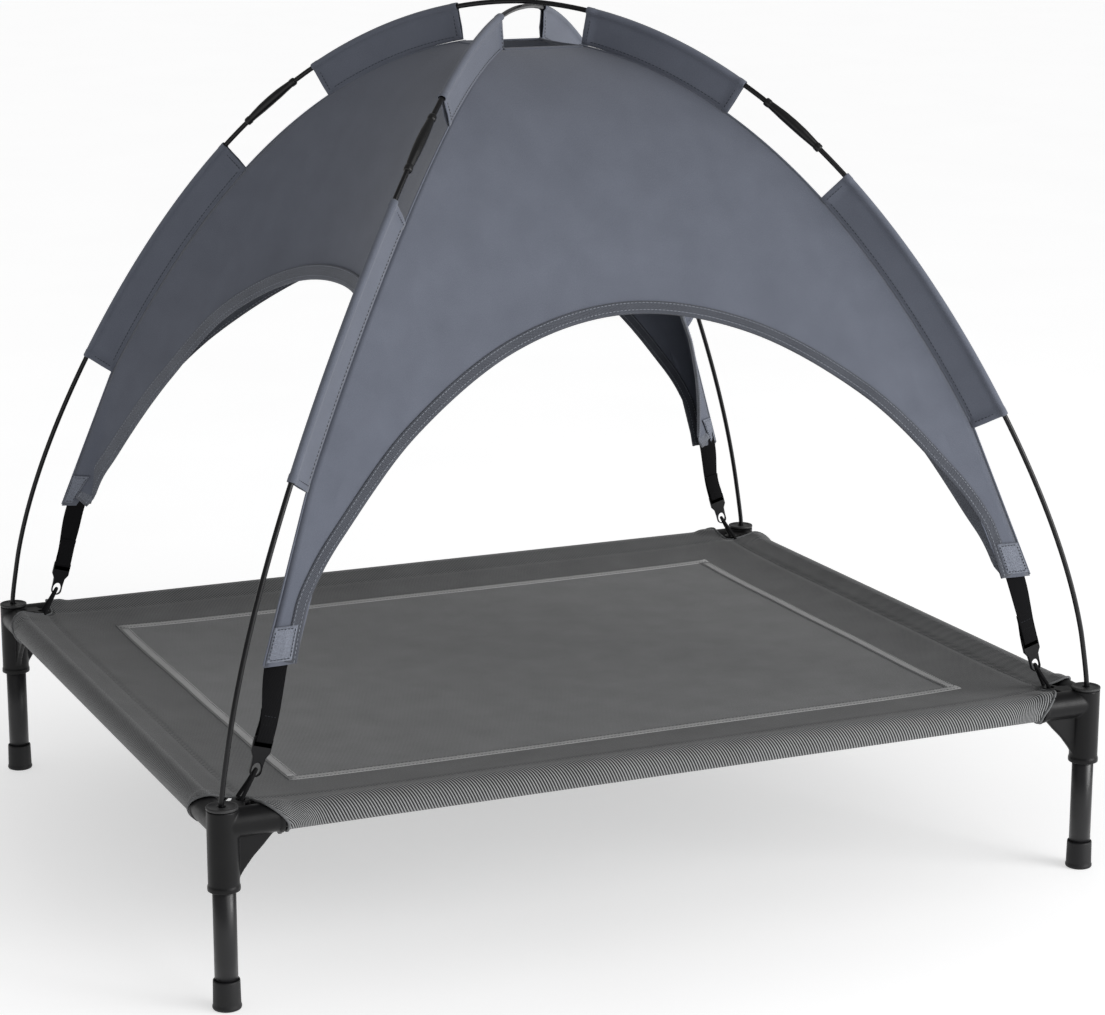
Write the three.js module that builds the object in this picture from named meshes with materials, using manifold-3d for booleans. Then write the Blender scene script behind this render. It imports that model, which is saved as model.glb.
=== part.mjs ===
// Raised pet bed with a removable sun canopy.
//
// A tube frame on four legs holds a stretched fabric bed. Two springy poles cross over
// the bed, and a four-panel canopy hangs from them by sleeves. Webbing straps at the four
// canopy legs hook onto elastic loops at the corner fittings.
//
// Frame: millimetres, +Z up, X along the long side, Y from front to back, origin on the
// floor below the middle of the bed. The four corners are front/back (-Y/+Y) and
// left/right (-X/+X).

import * as THREE from 'three';
import { mergeVertices } from 'three/addons/utils/BufferGeometryUtils.js';
import Module from 'manifold-3d';

const wasm = await Module();
wasm.setup();

// ---- Driving dimensions (mm) ----

const POST_X = 443; // post axis to the middle, along the long side
const POST_Y = 367; // post axis to the middle, front to back
const CAP_TOP = 187; // top of the corner posts
const GAP = 0.3; // clearance between touching pieces

const SLEEVE_RADIUS = 14;
const SLEEVE_BOTTOM = 110;
const LEG_BORE = 10.8;
const ARM_RADIUS = 13.25;
const ARM_LENGTH = 54;
const ARM_Z = 170.5; // height of the rail axes
const ARM_BORE = 11;
const ARM_FLOOR = 16; // post axis to the closed end of a rail socket
const GUSSET_THICKNESS = 5;
const LUG_OFFSET = 25; // post axis to the lug hole, in X and in Y
const LUG_RADIUS = 8.5;
const LUG_HOLE = 4;
const LUG_Z = [177, 182];

const LEG_RADIUS = 10.5;
const LEG_WALL = 1.2;
const LEG_Z = [5, 148];
const FOOT_HEIGHT = 27.5;
const CAP_RIM = 2.7;
const CAP_PLUG_BOTTOM = 150;
const POLE_HOLE = 3.2;

const RAIL_RADIUS = 10.6;
const RAIL_WALL = 1.2;
const RAIL_INSET = 17; // post axis to the end of a rail

const POCKET_OUTER = 13;
const POCKET_INNER = 11.1;
const NOTCH = 57; // fabric corner cut-out, from the post axis
const NOTCH_ROUND = 38;
const BED_TOP = 177;
const BED_THICKNESS = 2;
const TAPE_X = 347; // middle of the tape lines
const TAPE_Y = 278;
const TAPE_WIDTH = 11;
const TAPE_THICKNESS = 0.6;

const POLE_RADIUS = 2.5;
const POLE_HALF_LENGTH = 939.6; // crossing to the top of the post
const POLE_SLOPE = [2.3227, -2.2404, 1.4486]; // slope of the bent rod, by odd powers of t
const POLE_BOW = [38.3, 7.9]; // sideways bow of the rod, first two sine terms
const CROSSING_HALF_GAP = 2.9; // half the distance between the rods at the crossing
const CROSSING_BLEND = 0.35; // share of the rod over which that gap fades out
const POLE_BEND_END = 0.94; // share of the rod that is bent, before its straight end
const POLE_FOOT = 152.6;
const FERRULE_AT = 0.326;
const FERRULE_LENGTH = 70;
const FERRULE_RADII = { bore: 3.3, end: 4, middle: 4.9 };

const SEAM_DROP = 33; // rod axis to the ridge seam of the canopy
const SHADE_CENTRE = new THREE.Vector3(0, 0, 350);
const UPPER_SLEEVE = [0.075, 0.262];
const LOWER_SLEEVE = [0.4, 0.695];
const CHANNEL_RADII = { inner: 3.6, outer: 4.8 };
const FIN_THICKNESS = 1.6;
const FIN_CLEARANCE = 2.2; // fin edge to the ridge seam

const PANEL_THICKNESS = 1.6;
const PANEL_TOP = 0.075; // share of the ridge left open at the crossing
const PANEL_EDGE_GAP = 3.2; // panel edge to the ridge seam
const RIDGE_SHARE = 0.8; // share of a panel's edge that follows the rod
const TIP = new THREE.Vector3(393, 337, 297); // lower end of the back right ridge
const STRIP_LIMIT = 14; // width of a leg's strip that turns
const STRIP_TURN = { wide: 0.1, folded: -1.7 }; // how the strips of a leg lean, per mm of width
const FRONT_ARCH = [[0, 570], [120, 546], [230, 481], [308, 402], [341, 358], [365, 297]];
const SIDE_ARCH = [[0, 574], [100, 562], [180, 516], [232, 440], [284, 362], [326, 297]];
const FRONT_SAG = 20;
const SIDE_SAG = 78;

const STRAP_WIDTH = 16;
const STRAP_THICKNESS = 1.4;
const STRAP_TOP = new THREE.Vector3(375, 338, TIP.z); // where the strap leaves the leg tip
const EYE = new THREE.Vector3(402, 338, 206); // hook eye centre at the back right corner
const EYE_TO_BAR = 28;
const STRAP_EYE = { inner: 2.9, outer: 4.2 };
const HOOK = { width: 22, thickness: 3.4, bar: 1.6, slot: 7, slotWidth: 17.4, tail: 10 };
const LOOP_RADIUS = 1.4;

const CORNERS = [
  { name: 'front_left', x: -1, y: -1 },
  { name: 'front_right', x: 1, y: -1 },
  { name: 'back_left', x: -1, y: 1 },
  { name: 'back_right', x: 1, y: 1 },
];

// ---- Materials ----

const MATERIALS = {
  plastic: new THREE.MeshStandardMaterial({ color: 0x222224, roughness: 0.55, metalness: 0 }),
  cap: new THREE.MeshStandardMaterial({ color: 0x3c3c3e, roughness: 0.6, metalness: 0 }),
  steel: new THREE.MeshStandardMaterial({ color: 0x2c2c2e, roughness: 0.4, metalness: 0.4 }),
  rubber: new THREE.MeshStandardMaterial({ color: 0x1c1c1d, roughness: 0.8, metalness: 0 }),
  rod: new THREE.MeshStandardMaterial({ color: 0x141415, roughness: 0.35, metalness: 0 }),
  bed: new THREE.MeshStandardMaterial({ color: 0x58595b, roughness: 0.9, metalness: 0 }),
  tape: new THREE.MeshStandardMaterial({ color: 0xa8a9ab, roughness: 0.7, metalness: 0 }),
  canopy: new THREE.MeshStandardMaterial({ color: 0x666b78, roughness: 0.85, metalness: 0 }),
  webbing: new THREE.MeshStandardMaterial({ color: 0x18181a, roughness: 0.85, metalness: 0 }),
};

const object = new THREE.Group();

function addMesh(name, geometry, material, position = [0, 0, 0]) {
  const mesh = new THREE.Mesh(geometry, material);
  mesh.name = name;
  mesh.position.set(...position);
  object.add(mesh);
  return mesh;
}

// ---- Solid helpers ----

function welded(geometry) {
  const plain = geometry.clone();
  plain.deleteAttribute('normal');
  plain.deleteAttribute('uv');
  return mergeVertices(plain, 1e-3);
}

function toSolid(geometry) {
  const merged = welded(geometry);
  const vertProperties = Float32Array.from(merged.attributes.position.array);
  const triVerts = Uint32Array.from(merged.index.array);
  return new wasm.Manifold(new wasm.Mesh({ numProp: 3, vertProperties, triVerts }));
}

function toGeometry(solid) {
  const mesh = solid.getMesh();
  const geometry = new THREE.BufferGeometry();
  geometry.setAttribute('position', new THREE.BufferAttribute(mesh.vertProperties, 3));
  geometry.setIndex(new THREE.BufferAttribute(mesh.triVerts, 1));
  return geometry;
}

// Mirrors a geometry modelled for the back right corner to another corner.
function mirrored(geometry, corner) {
  const copy = welded(geometry);
  copy.scale(corner.x, corner.y, 1);
  if (corner.x * corner.y < 0) {
    const index = copy.index.array;
    for (let i = 0; i < index.length; i += 3) {
      [index[i + 1], index[i + 2]] = [index[i + 2], index[i + 1]];
    }
  }
  return copy;
}

function circle(radius, sides, clockwise = false) {
  const points = [];
  for (let i = 0; i < sides; i++) {
    const angle = (2 * Math.PI * i) / sides;
    points.push(new THREE.Vector2(radius * Math.cos(angle), radius * Math.sin(angle)));
  }
  return clockwise ? points.reverse() : points;
}

function ringIndices(index, start, count, stationSize, stations, closed) {
  const spans = closed ? stations : stations - 1;
  for (let k = 0; k < spans; k++) {
    const near = k * stationSize + start;
    const far = ((k + 1) % stations) * stationSize + start;
    for (let i = 0; i < count; i++) {
      const j = (i + 1) % count;
      index.push(near + i, near + j, far + j, near + i, far + j, far + i);
    }
  }
}

// Sweeps an outline, counter-clockwise in the XY plane of each station, along the stations'
// local +Z. Holes run clockwise. A closed sweep joins its last station to its first.
function sweep(outline, holes, stations, closed = false) {
  const flat = [outline, ...holes].flat();
  const positions = [];
  for (const station of stations) {
    for (const point of flat) {
      positions.push(...new THREE.Vector3(point.x, point.y, 0).applyMatrix4(station).toArray());
    }
  }
  const index = [];
  let start = 0;
  for (const ring of [outline, ...holes]) {
    ringIndices(index, start, ring.length, flat.length, stations.length, closed);
    start += ring.length;
  }
  if (!closed) {
    const last = (stations.length - 1) * flat.length;
    for (const [a, b, c] of THREE.ShapeUtils.triangulateShape(outline, holes)) {
      index.push(a, c, b, last + a, last + b, last + c);
    }
  }
  const geometry = new THREE.BufferGeometry();
  geometry.setAttribute('position', new THREE.Float32BufferAttribute(positions, 3));
  geometry.setIndex(index);
  return geometry;
}

// A station at a point, with +Z along the tangent and +X as near as it can be to side.
function station(point, tangent, side) {
  const z = tangent.clone().normalize();
  const x = side.clone().addScaledVector(z, -side.dot(z)).normalize();
  const y = new THREE.Vector3().crossVectors(z, x);
  return new THREE.Matrix4().makeBasis(x, y, z).setPosition(point);
}

function stationsAlong(points, sideAt, closed = false) {
  const count = points.length;
  return points.map((point, i) => {
    const before = points[closed ? (i + count - 1) % count : Math.max(i - 1, 0)];
    const after = points[closed ? (i + 1) % count : Math.min(i + 1, count - 1)];
    return station(point, after.clone().sub(before), sideAt(point));
  });
}

function tube(outer, inner, from, to, sides = 16) {
  const tangent = to.clone().sub(from);
  const side = Math.abs(tangent.z) > 1 ? new THREE.Vector3(1, 0, 0) : new THREE.Vector3(0, 0, 1);
  const ends = [station(from, tangent, side), station(to, tangent, side)];
  return sweep(circle(outer, sides), [circle(inner, sides, true)], ends);
}

function rod(radius, from, to, sides = 16) {
  const tangent = to.clone().sub(from);
  const side = Math.abs(tangent.z) > 1 ? new THREE.Vector3(1, 0, 0) : new THREE.Vector3(0, 0, 1);
  const ends = [station(from, tangent, side), station(to, tangent, side)];
  return sweep(circle(radius, sides), [], ends);
}

// ---- Frame ----

// The gusset under an arm that runs along -X, as an outline in X and Z.
function gussetOutline() {
  const shape = new THREE.Shape();
  shape.moveTo(-8, ARM_Z - 10);
  shape.lineTo(-46, ARM_Z - 10);
  shape.quadraticCurveTo(-20, SLEEVE_BOTTOM + 38, -12, SLEEVE_BOTTOM + 12);
  shape.lineTo(-8, SLEEVE_BOTTOM + 12);
  return shape;
}

function armSolid() {
  const axis = (x) => new THREE.Vector3(x, 0, ARM_Z);
  const collar = rod(ARM_RADIUS + 1.2, axis(-ARM_LENGTH), axis(-ARM_LENGTH + 4));
  const gusset = new THREE.ExtrudeGeometry(gussetOutline(), {
    depth: GUSSET_THICKNESS, bevelEnabled: false, curveSegments: 5,
  });
  gusset.translate(0, 0, -GUSSET_THICKNESS / 2);
  gusset.rotateX(Math.PI / 2);
  return toSolid(rod(ARM_RADIUS, axis(-ARM_LENGTH + 2), axis(0)))
    .add(toSolid(collar))
    .add(toSolid(gusset));
}

function armBore() {
  const axis = (x) => new THREE.Vector3(x, 0, ARM_Z);
  return toSolid(rod(ARM_BORE, axis(-ARM_LENGTH - 1), axis(-ARM_FLOOR)));
}

function lugSolid() {
  const [low, high] = LUG_Z;
  const bridge = new THREE.BoxGeometry(LUG_OFFSET, LUG_OFFSET, high - low);
  bridge.translate(-LUG_OFFSET / 2, -LUG_OFFSET / 2, (low + high) / 2);
  const at = (z) => new THREE.Vector3(-LUG_OFFSET, -LUG_OFFSET, z);
  return toSolid(bridge).add(toSolid(rod(LUG_RADIUS, at(low), at(high))));
}

// Corner fitting: a leg sleeve, two rail sockets with gussets, and a lug for the loop. It is
// modelled round the post axis for the back right corner, with its arms along -X and -Y.
function cornerFitting() {
  const up = (z) => new THREE.Vector3(0, 0, z);
  const quarterTurn = [0, 0, 90];
  const sleeve = toSolid(rod(SLEEVE_RADIUS, up(SLEEVE_BOTTOM), up(CAP_TOP - CAP_RIM - GAP), 20));
  const lip = toSolid(rod(SLEEVE_RADIUS + 0.8, up(SLEEVE_BOTTOM), up(SLEEVE_BOTTOM + 4), 20));
  const lugHole = toSolid(rod(LUG_HOLE, new THREE.Vector3(-LUG_OFFSET, -LUG_OFFSET, 160),
    new THREE.Vector3(-LUG_OFFSET, -LUG_OFFSET, 200), 10));
  const legBore = toSolid(rod(LEG_BORE, up(SLEEVE_BOTTOM - 1), up(CAP_TOP + 1), 20));
  const solid = sleeve.add(lip)
    .add(armSolid())
    .add(armSolid().rotate(quarterTurn))
    .add(lugSolid())
    .subtract(armBore())
    .subtract(armBore().rotate(quarterTurn))
    .subtract(lugHole)
    .subtract(legBore);
  return toGeometry(solid);
}

function footGeometry() {
  const profile = [
    [0, 0], [13.2, 0], [13.2, 3], [12.3, 6], [12.1, FOOT_HEIGHT - 0.8], [11.6, FOOT_HEIGHT],
    [LEG_RADIUS + GAP, FOOT_HEIGHT], [LEG_RADIUS + GAP, LEG_Z[0] - GAP], [0, LEG_Z[0] - GAP],
  ];
  return lathe(profile, 16);
}

// Post cap with a plug below it and a blind socket for the end of a pole.
function capGeometry() {
  const plug = LEG_BORE - 0.4;
  const under = CAP_TOP - CAP_RIM;
  const floor = POLE_FOOT - GAP;
  const profile = [
    [0, CAP_PLUG_BOTTOM], [plug, CAP_PLUG_BOTTOM], [plug, under], [SLEEVE_RADIUS, under],
    [SLEEVE_RADIUS, CAP_TOP - 0.6], [SLEEVE_RADIUS - 0.6, CAP_TOP], [SLEEVE_RADIUS - 2, CAP_TOP],
    [SLEEVE_RADIUS - 2.4, CAP_TOP - 0.9], [POLE_HOLE, CAP_TOP - 0.9], [POLE_HOLE, floor],
    [0, floor],
  ];
  return lathe(profile, 16);
}

// Turns an outline of [radius, height] points about Z.
function lathe(profile, segments) {
  const points = profile.map(([radius, height]) => new THREE.Vector2(radius, height));
  return new THREE.LatheGeometry(points, segments).rotateX(Math.PI / 2);
}

function addFrame() {
  const fitting = cornerFitting();
  for (const corner of CORNERS) {
    const post = [corner.x * POST_X, corner.y * POST_Y, 0];
    const leg = tube(LEG_RADIUS, LEG_RADIUS - LEG_WALL, new THREE.Vector3(0, 0, LEG_Z[0]),
      new THREE.Vector3(0, 0, LEG_Z[1]));
    addMesh(`corner_fitting_${corner.name}`, mirrored(fitting, corner), MATERIALS.plastic, post);
    addMesh(`pole_socket_cap_${corner.name}`, capGeometry(), MATERIALS.cap, post);
    addMesh(`leg_tube_${corner.name}`, leg, MATERIALS.steel, post);
    addMesh(`foot_${corner.name}`, footGeometry(), MATERIALS.rubber, post);
  }
  for (const [name, side] of [['front', -1], ['back', 1]]) {
    const end = POST_X - RAIL_INSET;
    const rail = tube(RAIL_RADIUS, RAIL_RADIUS - RAIL_WALL, new THREE.Vector3(-end, 0, 0),
      new THREE.Vector3(end, 0, 0));
    addMesh(`rail_${name}`, rail, MATERIALS.steel, [0, side * POST_Y, ARM_Z]);
  }
  for (const [name, side] of [['left', -1], ['right', 1]]) {
    const end = POST_Y - RAIL_INSET;
    const rail = tube(RAIL_RADIUS, RAIL_RADIUS - RAIL_WALL, new THREE.Vector3(0, -end, 0),
      new THREE.Vector3(0, end, 0));
    addMesh(`rail_${name}`, rail, MATERIALS.steel, [side * POST_X, 0, ARM_Z]);
  }
}

// ---- Bed fabric ----

// Outline of the sheet between the rails, with a rounded notch at each corner.
function sheetOutline() {
  const inPocketWall = 11;
  const x = POST_X - inPocketWall;
  const y = POST_Y - inPocketWall;
  const nx = POST_X - NOTCH;
  const ny = POST_Y - NOTCH;
  const shape = new THREE.Shape();
  shape.moveTo(-nx, -y);
  shape.lineTo(nx, -y);
  shape.lineTo(nx, -ny - NOTCH_ROUND);
  shape.quadraticCurveTo(nx, -ny, nx + NOTCH_ROUND, -ny);
  shape.lineTo(x, -ny);
  shape.lineTo(x, ny);
  shape.lineTo(nx + NOTCH_ROUND, ny);
  shape.quadraticCurveTo(nx, ny, nx, ny + NOTCH_ROUND);
  shape.lineTo(nx, y);
  shape.lineTo(-nx, y);
  shape.lineTo(-nx, ny + NOTCH_ROUND);
  shape.quadraticCurveTo(-nx, ny, -nx - NOTCH_ROUND, ny);
  shape.lineTo(-x, ny);
  shape.lineTo(-x, -ny);
  shape.lineTo(-nx - NOTCH_ROUND, -ny);
  shape.quadraticCurveTo(-nx, -ny, -nx, -ny - NOTCH_ROUND);
  shape.closePath();
  return shape;
}

function bedFabric() {
  const sheet = new THREE.ExtrudeGeometry(sheetOutline(), {
    depth: BED_THICKNESS, bevelEnabled: false, curveSegments: 4,
  });
  sheet.translate(0, 0, BED_TOP - BED_THICKNESS);
  let solid = toSolid(sheet);
  for (const side of [-1, 1]) {
    const along = (x) => new THREE.Vector3(x, side * POST_Y, ARM_Z);
    const across = (y) => new THREE.Vector3(side * POST_X, y, ARM_Z);
    const endX = POST_X - NOTCH;
    const endY = POST_Y - NOTCH;
    solid = solid.add(toSolid(tube(POCKET_OUTER, POCKET_INNER, along(-endX), along(endX))));
    solid = solid.add(toSolid(tube(POCKET_OUTER, POCKET_INNER, across(-endY), across(endY))));
  }
  return toGeometry(solid);
}

function addBed() {
  addMesh('bed_fabric', bedFabric(), MATERIALS.bed);
  const z = BED_TOP + GAP + TAPE_THICKNESS / 2;
  const long = 2 * TAPE_X + TAPE_WIDTH;
  const short = 2 * TAPE_Y - TAPE_WIDTH - 2 * GAP;
  for (const [name, side] of [['front', -1], ['back', 1]]) {
    const strip = new THREE.BoxGeometry(long, TAPE_WIDTH, TAPE_THICKNESS);
    addMesh(`bed_tape_${name}`, strip, MATERIALS.tape, [0, side * TAPE_Y, z]);
  }
  for (const [name, side] of [['left', -1], ['right', 1]]) {
    const strip = new THREE.BoxGeometry(TAPE_WIDTH, short, TAPE_THICKNESS);
    addMesh(`bed_tape_${name}`, strip, MATERIALS.tape, [side * TAPE_X, 0, z]);
  }
}

// ---- Poles ----

// The bent rod in its own plane: share of the run and height, from the crossing (t = 0) to
// the post (t = 1), found by adding up short straight steps at the rod's slope.
const ROD_STEPS = 200;
const ROD_PROFILE = rodProfile();

function rodProfile() {
  const [first, third, fifth] = POLE_SLOPE;
  const points = [{ run: 0, drop: 0 }];
  for (let i = 0; i < ROD_STEPS; i++) {
    const t = (i + 0.5) / ROD_STEPS;
    const slope = first * t + third * t ** 3 + fifth * t ** 5;
    const last = points[i];
    points.push({ run: last.run + Math.cos(slope), drop: last.drop + Math.sin(slope) });
  }
  const end = points[ROD_STEPS];
  const step = POLE_HALF_LENGTH / ROD_STEPS;
  return points.map(({ run, drop }) => ({
    share: run / end.run,
    height: CAP_TOP + (end.drop - drop) * step,
  }));
}

// A point of the rod's axis at the back right corner, before the gap at the crossing.
function rodPoint(t) {
  const place = Math.min(t, 1) * ROD_STEPS;
  const i = Math.min(Math.floor(place), ROD_STEPS - 1);
  const [a, b] = [ROD_PROFILE[i], ROD_PROFILE[i + 1]];
  const share = THREE.MathUtils.lerp(a.share, b.share, place - i);
  const height = THREE.MathUtils.lerp(a.height, b.height, place - i);
  const bow = POLE_BOW[0] * Math.sin(Math.PI * t) + POLE_BOW[1] * Math.sin(2 * Math.PI * t);
  const diagonal = Math.hypot(POST_X, POST_Y);
  return new THREE.Vector3(
    POST_X * share - (bow * POST_Y) / diagonal,
    POST_Y * share + (bow * POST_X) / diagonal,
    height,
  );
}

// The two rods pass over one another: one is raised and one lowered at the crossing.
function rodPointAt(corner, t) {
  const over = corner.x * corner.y < 0;
  const fade = Math.max(0, 1 - t / CROSSING_BLEND) ** 2;
  const point = rodPoint(t);
  point.z += (over ? CROSSING_HALF_GAP : -CROSSING_HALF_GAP) * fade;
  return point.multiply(new THREE.Vector3(corner.x, corner.y, 1));
}

function rodPointsAt(corner, from, to, count) {
  const points = [];
  for (let i = 0; i <= count; i++) {
    points.push(rodPointAt(corner, from + ((to - from) * i) / count));
  }
  return points;
}

const UP = new THREE.Vector3(0, 0, 1);

function rodSide(point) {
  return new THREE.Vector3(-point.y, point.x, 0).lengthSq() > 1
    ? new THREE.Vector3(-point.y, point.x, 0)
    : new THREE.Vector3(1, 1, 0);
}

// The end section, from inside the ferrule to the straight end in the post cap.
function endSectionPoints(corner) {
  const halfGap = 0.3 / POLE_HALF_LENGTH;
  const bendSteps = 14;
  const bent = rodPointsAt(corner, FERRULE_AT + halfGap, POLE_BEND_END, bendSteps);
  const straight = (z) => new THREE.Vector3(corner.x * POST_X, corner.y * POST_Y, z);
  const blend = new THREE.CatmullRomCurve3(
    [...bent.slice(-4), straight(CAP_TOP + 8), straight(CAP_TOP - 8), straight(POLE_FOOT)],
    false, 'centripetal');
  const end = blend.getPoints(18).filter((point) => point.z < bent[bendSteps].z - 1);
  return [...bent, ...end];
}

function ferrulePoints(corner) {
  const half = FERRULE_LENGTH / 2 / POLE_HALF_LENGTH;
  return rodPointsAt(corner, FERRULE_AT - half, FERRULE_AT + half, 6);
}

// A barrel-shaped sleeve on the rod joint: wide in the middle, with a collar at each end.
function ferruleGeometry(corner) {
  const points = ferrulePoints(corner);
  const stations = stationsAlong(points, rodSide);
  const { bore, end, middle } = FERRULE_RADII;
  const radii = points.map((_, i) => {
    const fromEnd = Math.min(i, points.length - 1 - i);
    return THREE.MathUtils.lerp(end, middle, Math.min(fromEnd / 2, 1));
  });
  return varyingTube(stations, radii, bore, 10);
}

// A round tube whose outside radius changes from station to station.
function varyingTube(stations, radii, bore, sides) {
  const geometry = sweep(circle(radii[0], sides), [circle(bore, sides, true)], stations);
  const position = geometry.attributes.position;
  const point = new THREE.Vector3();
  stations.forEach((matrix, k) => {
    const centre = new THREE.Vector3().setFromMatrixPosition(matrix);
    for (let i = 0; i < sides; i++) {
      const at = k * 2 * sides + i;
      point.fromBufferAttribute(position, at).sub(centre);
      point.setLength(radii[k]).add(centre);
      position.setXYZ(at, point.x, point.y, point.z);
    }
  });
  return geometry;
}

function addPoles() {
  const section = circle(POLE_RADIUS, 8);
  const halfGap = 0.3 / POLE_HALF_LENGTH;
  for (const [name, first, second] of [['over', 2, 1], ['under', 0, 3]]) {
    const start = rodPointsAt(CORNERS[first], 0, FERRULE_AT - halfGap, 9).reverse();
    const finish = rodPointsAt(CORNERS[second], 0, FERRULE_AT - halfGap, 9).slice(1);
    const middle = stationsAlong([...start, ...finish], () => UP);
    addMesh(`pole_${name}_middle`, sweep(section, [], middle), MATERIALS.rod);
  }
  for (const corner of CORNERS) {
    const stations = stationsAlong(endSectionPoints(corner), rodSide);
    addMesh(`pole_end_${corner.name}`, sweep(section, [], stations), MATERIALS.rod);
    addMesh(`pole_ferrule_${corner.name}`, ferruleGeometry(corner), MATERIALS.plastic);
  }
}

// ---- Canopy ----

// Direction from the rod towards the shaded space, square to the rod.
function inwardAt(t) {
  const point = rodPoint(t);
  const tangent = rodPoint(Math.min(t + 0.01, 1)).sub(rodPoint(Math.max(t - 0.01, 0)));
  if (t < 0.01) {
    return UP.clone().negate();
  }
  tangent.normalize();
  const inward = SHADE_CENTRE.clone().sub(point);
  return inward.addScaledVector(tangent, -inward.dot(tangent)).normalize();
}

// The end of the sewn ridge, and the straight line of a strap up from its hook eye.
const RIDGE_END = rodPoint(LOWER_SLEEVE[1]).addScaledVector(inwardAt(LOWER_SLEEVE[1]), SEAM_DROP);
const PULL = STRAP_TOP.clone().sub(EYE).normalize();
const BAR = EYE.clone().addScaledVector(PULL, EYE_TO_BAR);

// Ridge seam between two panels, from the crossing (s = 0) to the leg tip (s = 1).
function ridgePoint(s) {
  if (s > RIDGE_SHARE) {
    return RIDGE_END.clone().lerp(TIP, (s - RIDGE_SHARE) / (1 - RIDGE_SHARE));
  }
  const t = (LOWER_SLEEVE[1] * s) / RIDGE_SHARE;
  return rodPoint(t).addScaledVector(inwardAt(t), SEAM_DROP);
}

function ridgeShareAtHeight(z) {
  let [low, high] = [0, 1];
  for (let i = 0; i < 30; i++) {
    const middle = (low + high) / 2;
    if (ridgePoint(middle).z > z) {
      low = middle;
    } else {
      high = middle;
    }
  }
  return low;
}

// Columns of a panel half: how far out each lies between the middle (0) and the ridge (1),
// and how far down the ridge it reaches before the arch cuts it off.
function panelColumns(arch, along) {
  const curve = new THREE.SplineCurve(arch.map(([x, z]) => new THREE.Vector2(x, z)));
  const columns = [];
  const archSteps = 9;
  for (let i = 0; i <= archSteps; i++) {
    const { x, y: z } = curve.getPoint(i / archSteps);
    const s = i === archSteps ? 1 : ridgeShareAtHeight(z);
    columns.push({ out: x / ridgePoint(s)[along], s });
  }
  columns.push({ out: (columns[archSteps].out + 1) / 2, s: 1 });
  columns.push({ out: 1, s: 1 });
  return columns;
}

// A point of a panel: the ruled sheet between two ridges, drawn in towards the middle of the
// bed by sag. Down each leg the side panel's strip folds in behind the end panel's.
function panelPoint(out, s, side, sag, along, across, lean) {
  const ridge = ridgePoint(s);
  const strip = (1 - Math.abs(out)) * ridge[along];
  const flat = Math.max(0, (s - RIDGE_SHARE) / (1 - RIDGE_SHARE));
  const turn = Math.min(strip, STRIP_LIMIT) * lean * flat * flat;
  const hollow = sag * (1 - out * out) * Math.min(s / 0.58, 1) ** 1.5;
  const clear = Math.sign(out) * Math.min(PANEL_EDGE_GAP, Math.abs(out) * ridge[along] * 0.5);
  const point = new THREE.Vector3();
  point[along] = out * ridge[along] - clear;
  point[across] = side * (ridge[across] - hollow + turn);
  point.z = ridge.z;
  return point;
}

// Closed shell: the sheet's grid and a copy moved inwards by the panel's thickness.
function shellFromGrid(grid) {
  const rows = grid.length;
  const columns = grid[0].length;
  const outside = grid.flat();
  const normals = gridNormals(grid);
  const inside = outside.map((point, i) => point.clone()
    .addScaledVector(normals[i], -PANEL_THICKNESS));
  const count = outside.length;
  const at = (r, c) => r * columns + c;
  const index = [];
  for (let r = 0; r < rows - 1; r++) {
    for (let c = 0; c < columns - 1; c++) {
      const quad = [at(r, c), at(r + 1, c), at(r + 1, c + 1), at(r, c + 1)];
      index.push(quad[0], quad[1], quad[2], quad[0], quad[2], quad[3]);
      const back = quad.map((i) => i + count);
      index.push(back[0], back[2], back[1], back[0], back[3], back[2]);
    }
  }
  const rim = [];
  for (let c = 0; c < columns - 1; c++) {
    rim.push(at(0, c));
  }
  for (let r = 0; r < rows - 1; r++) {
    rim.push(at(r, columns - 1));
  }
  for (let c = columns - 1; c > 0; c--) {
    rim.push(at(rows - 1, c));
  }
  for (let r = rows - 1; r > 0; r--) {
    rim.push(at(r, 0));
  }
  rim.forEach((a, i) => {
    const b = rim[(i + 1) % rim.length];
    index.push(a, b, b + count, a, b + count, a + count);
  });
  const geometry = new THREE.BufferGeometry();
  const flat = [...outside, ...inside].flatMap((point) => point.toArray());
  geometry.setAttribute('position', new THREE.Float32BufferAttribute(flat, 3));
  geometry.setIndex(index);
  return geometry;
}

function gridNormals(grid) {
  const rows = grid.length;
  const columns = grid[0].length;
  return grid.flatMap((row, r) => row.map((_, c) => {
    const down = grid[Math.min(r + 1, rows - 1)][c].clone().sub(grid[Math.max(r - 1, 0)][c]);
    const over = row[Math.min(c + 1, columns - 1)].clone().sub(row[Math.max(c - 1, 0)]);
    return down.cross(over).normalize();
  }));
}

function panelGeometry({ side, arch, sag, along, across, lean, flip }) {
  const half = panelColumns(arch, along);
  const columns = [...half.slice(1).reverse().map(({ out, s }) => ({ out: -out, s })), ...half];
  if (flip) {
    columns.reverse();
  }
  const rows = 7;
  const grid = [];
  for (let r = 0; r <= rows; r++) {
    grid.push(columns.map(({ out, s }) => {
      const down = PANEL_TOP + ((s - PANEL_TOP) * r) / rows;
      return panelPoint(out, down, side, sag, along, across, lean);
    }));
  }
  return shellFromGrid(grid);
}

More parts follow.
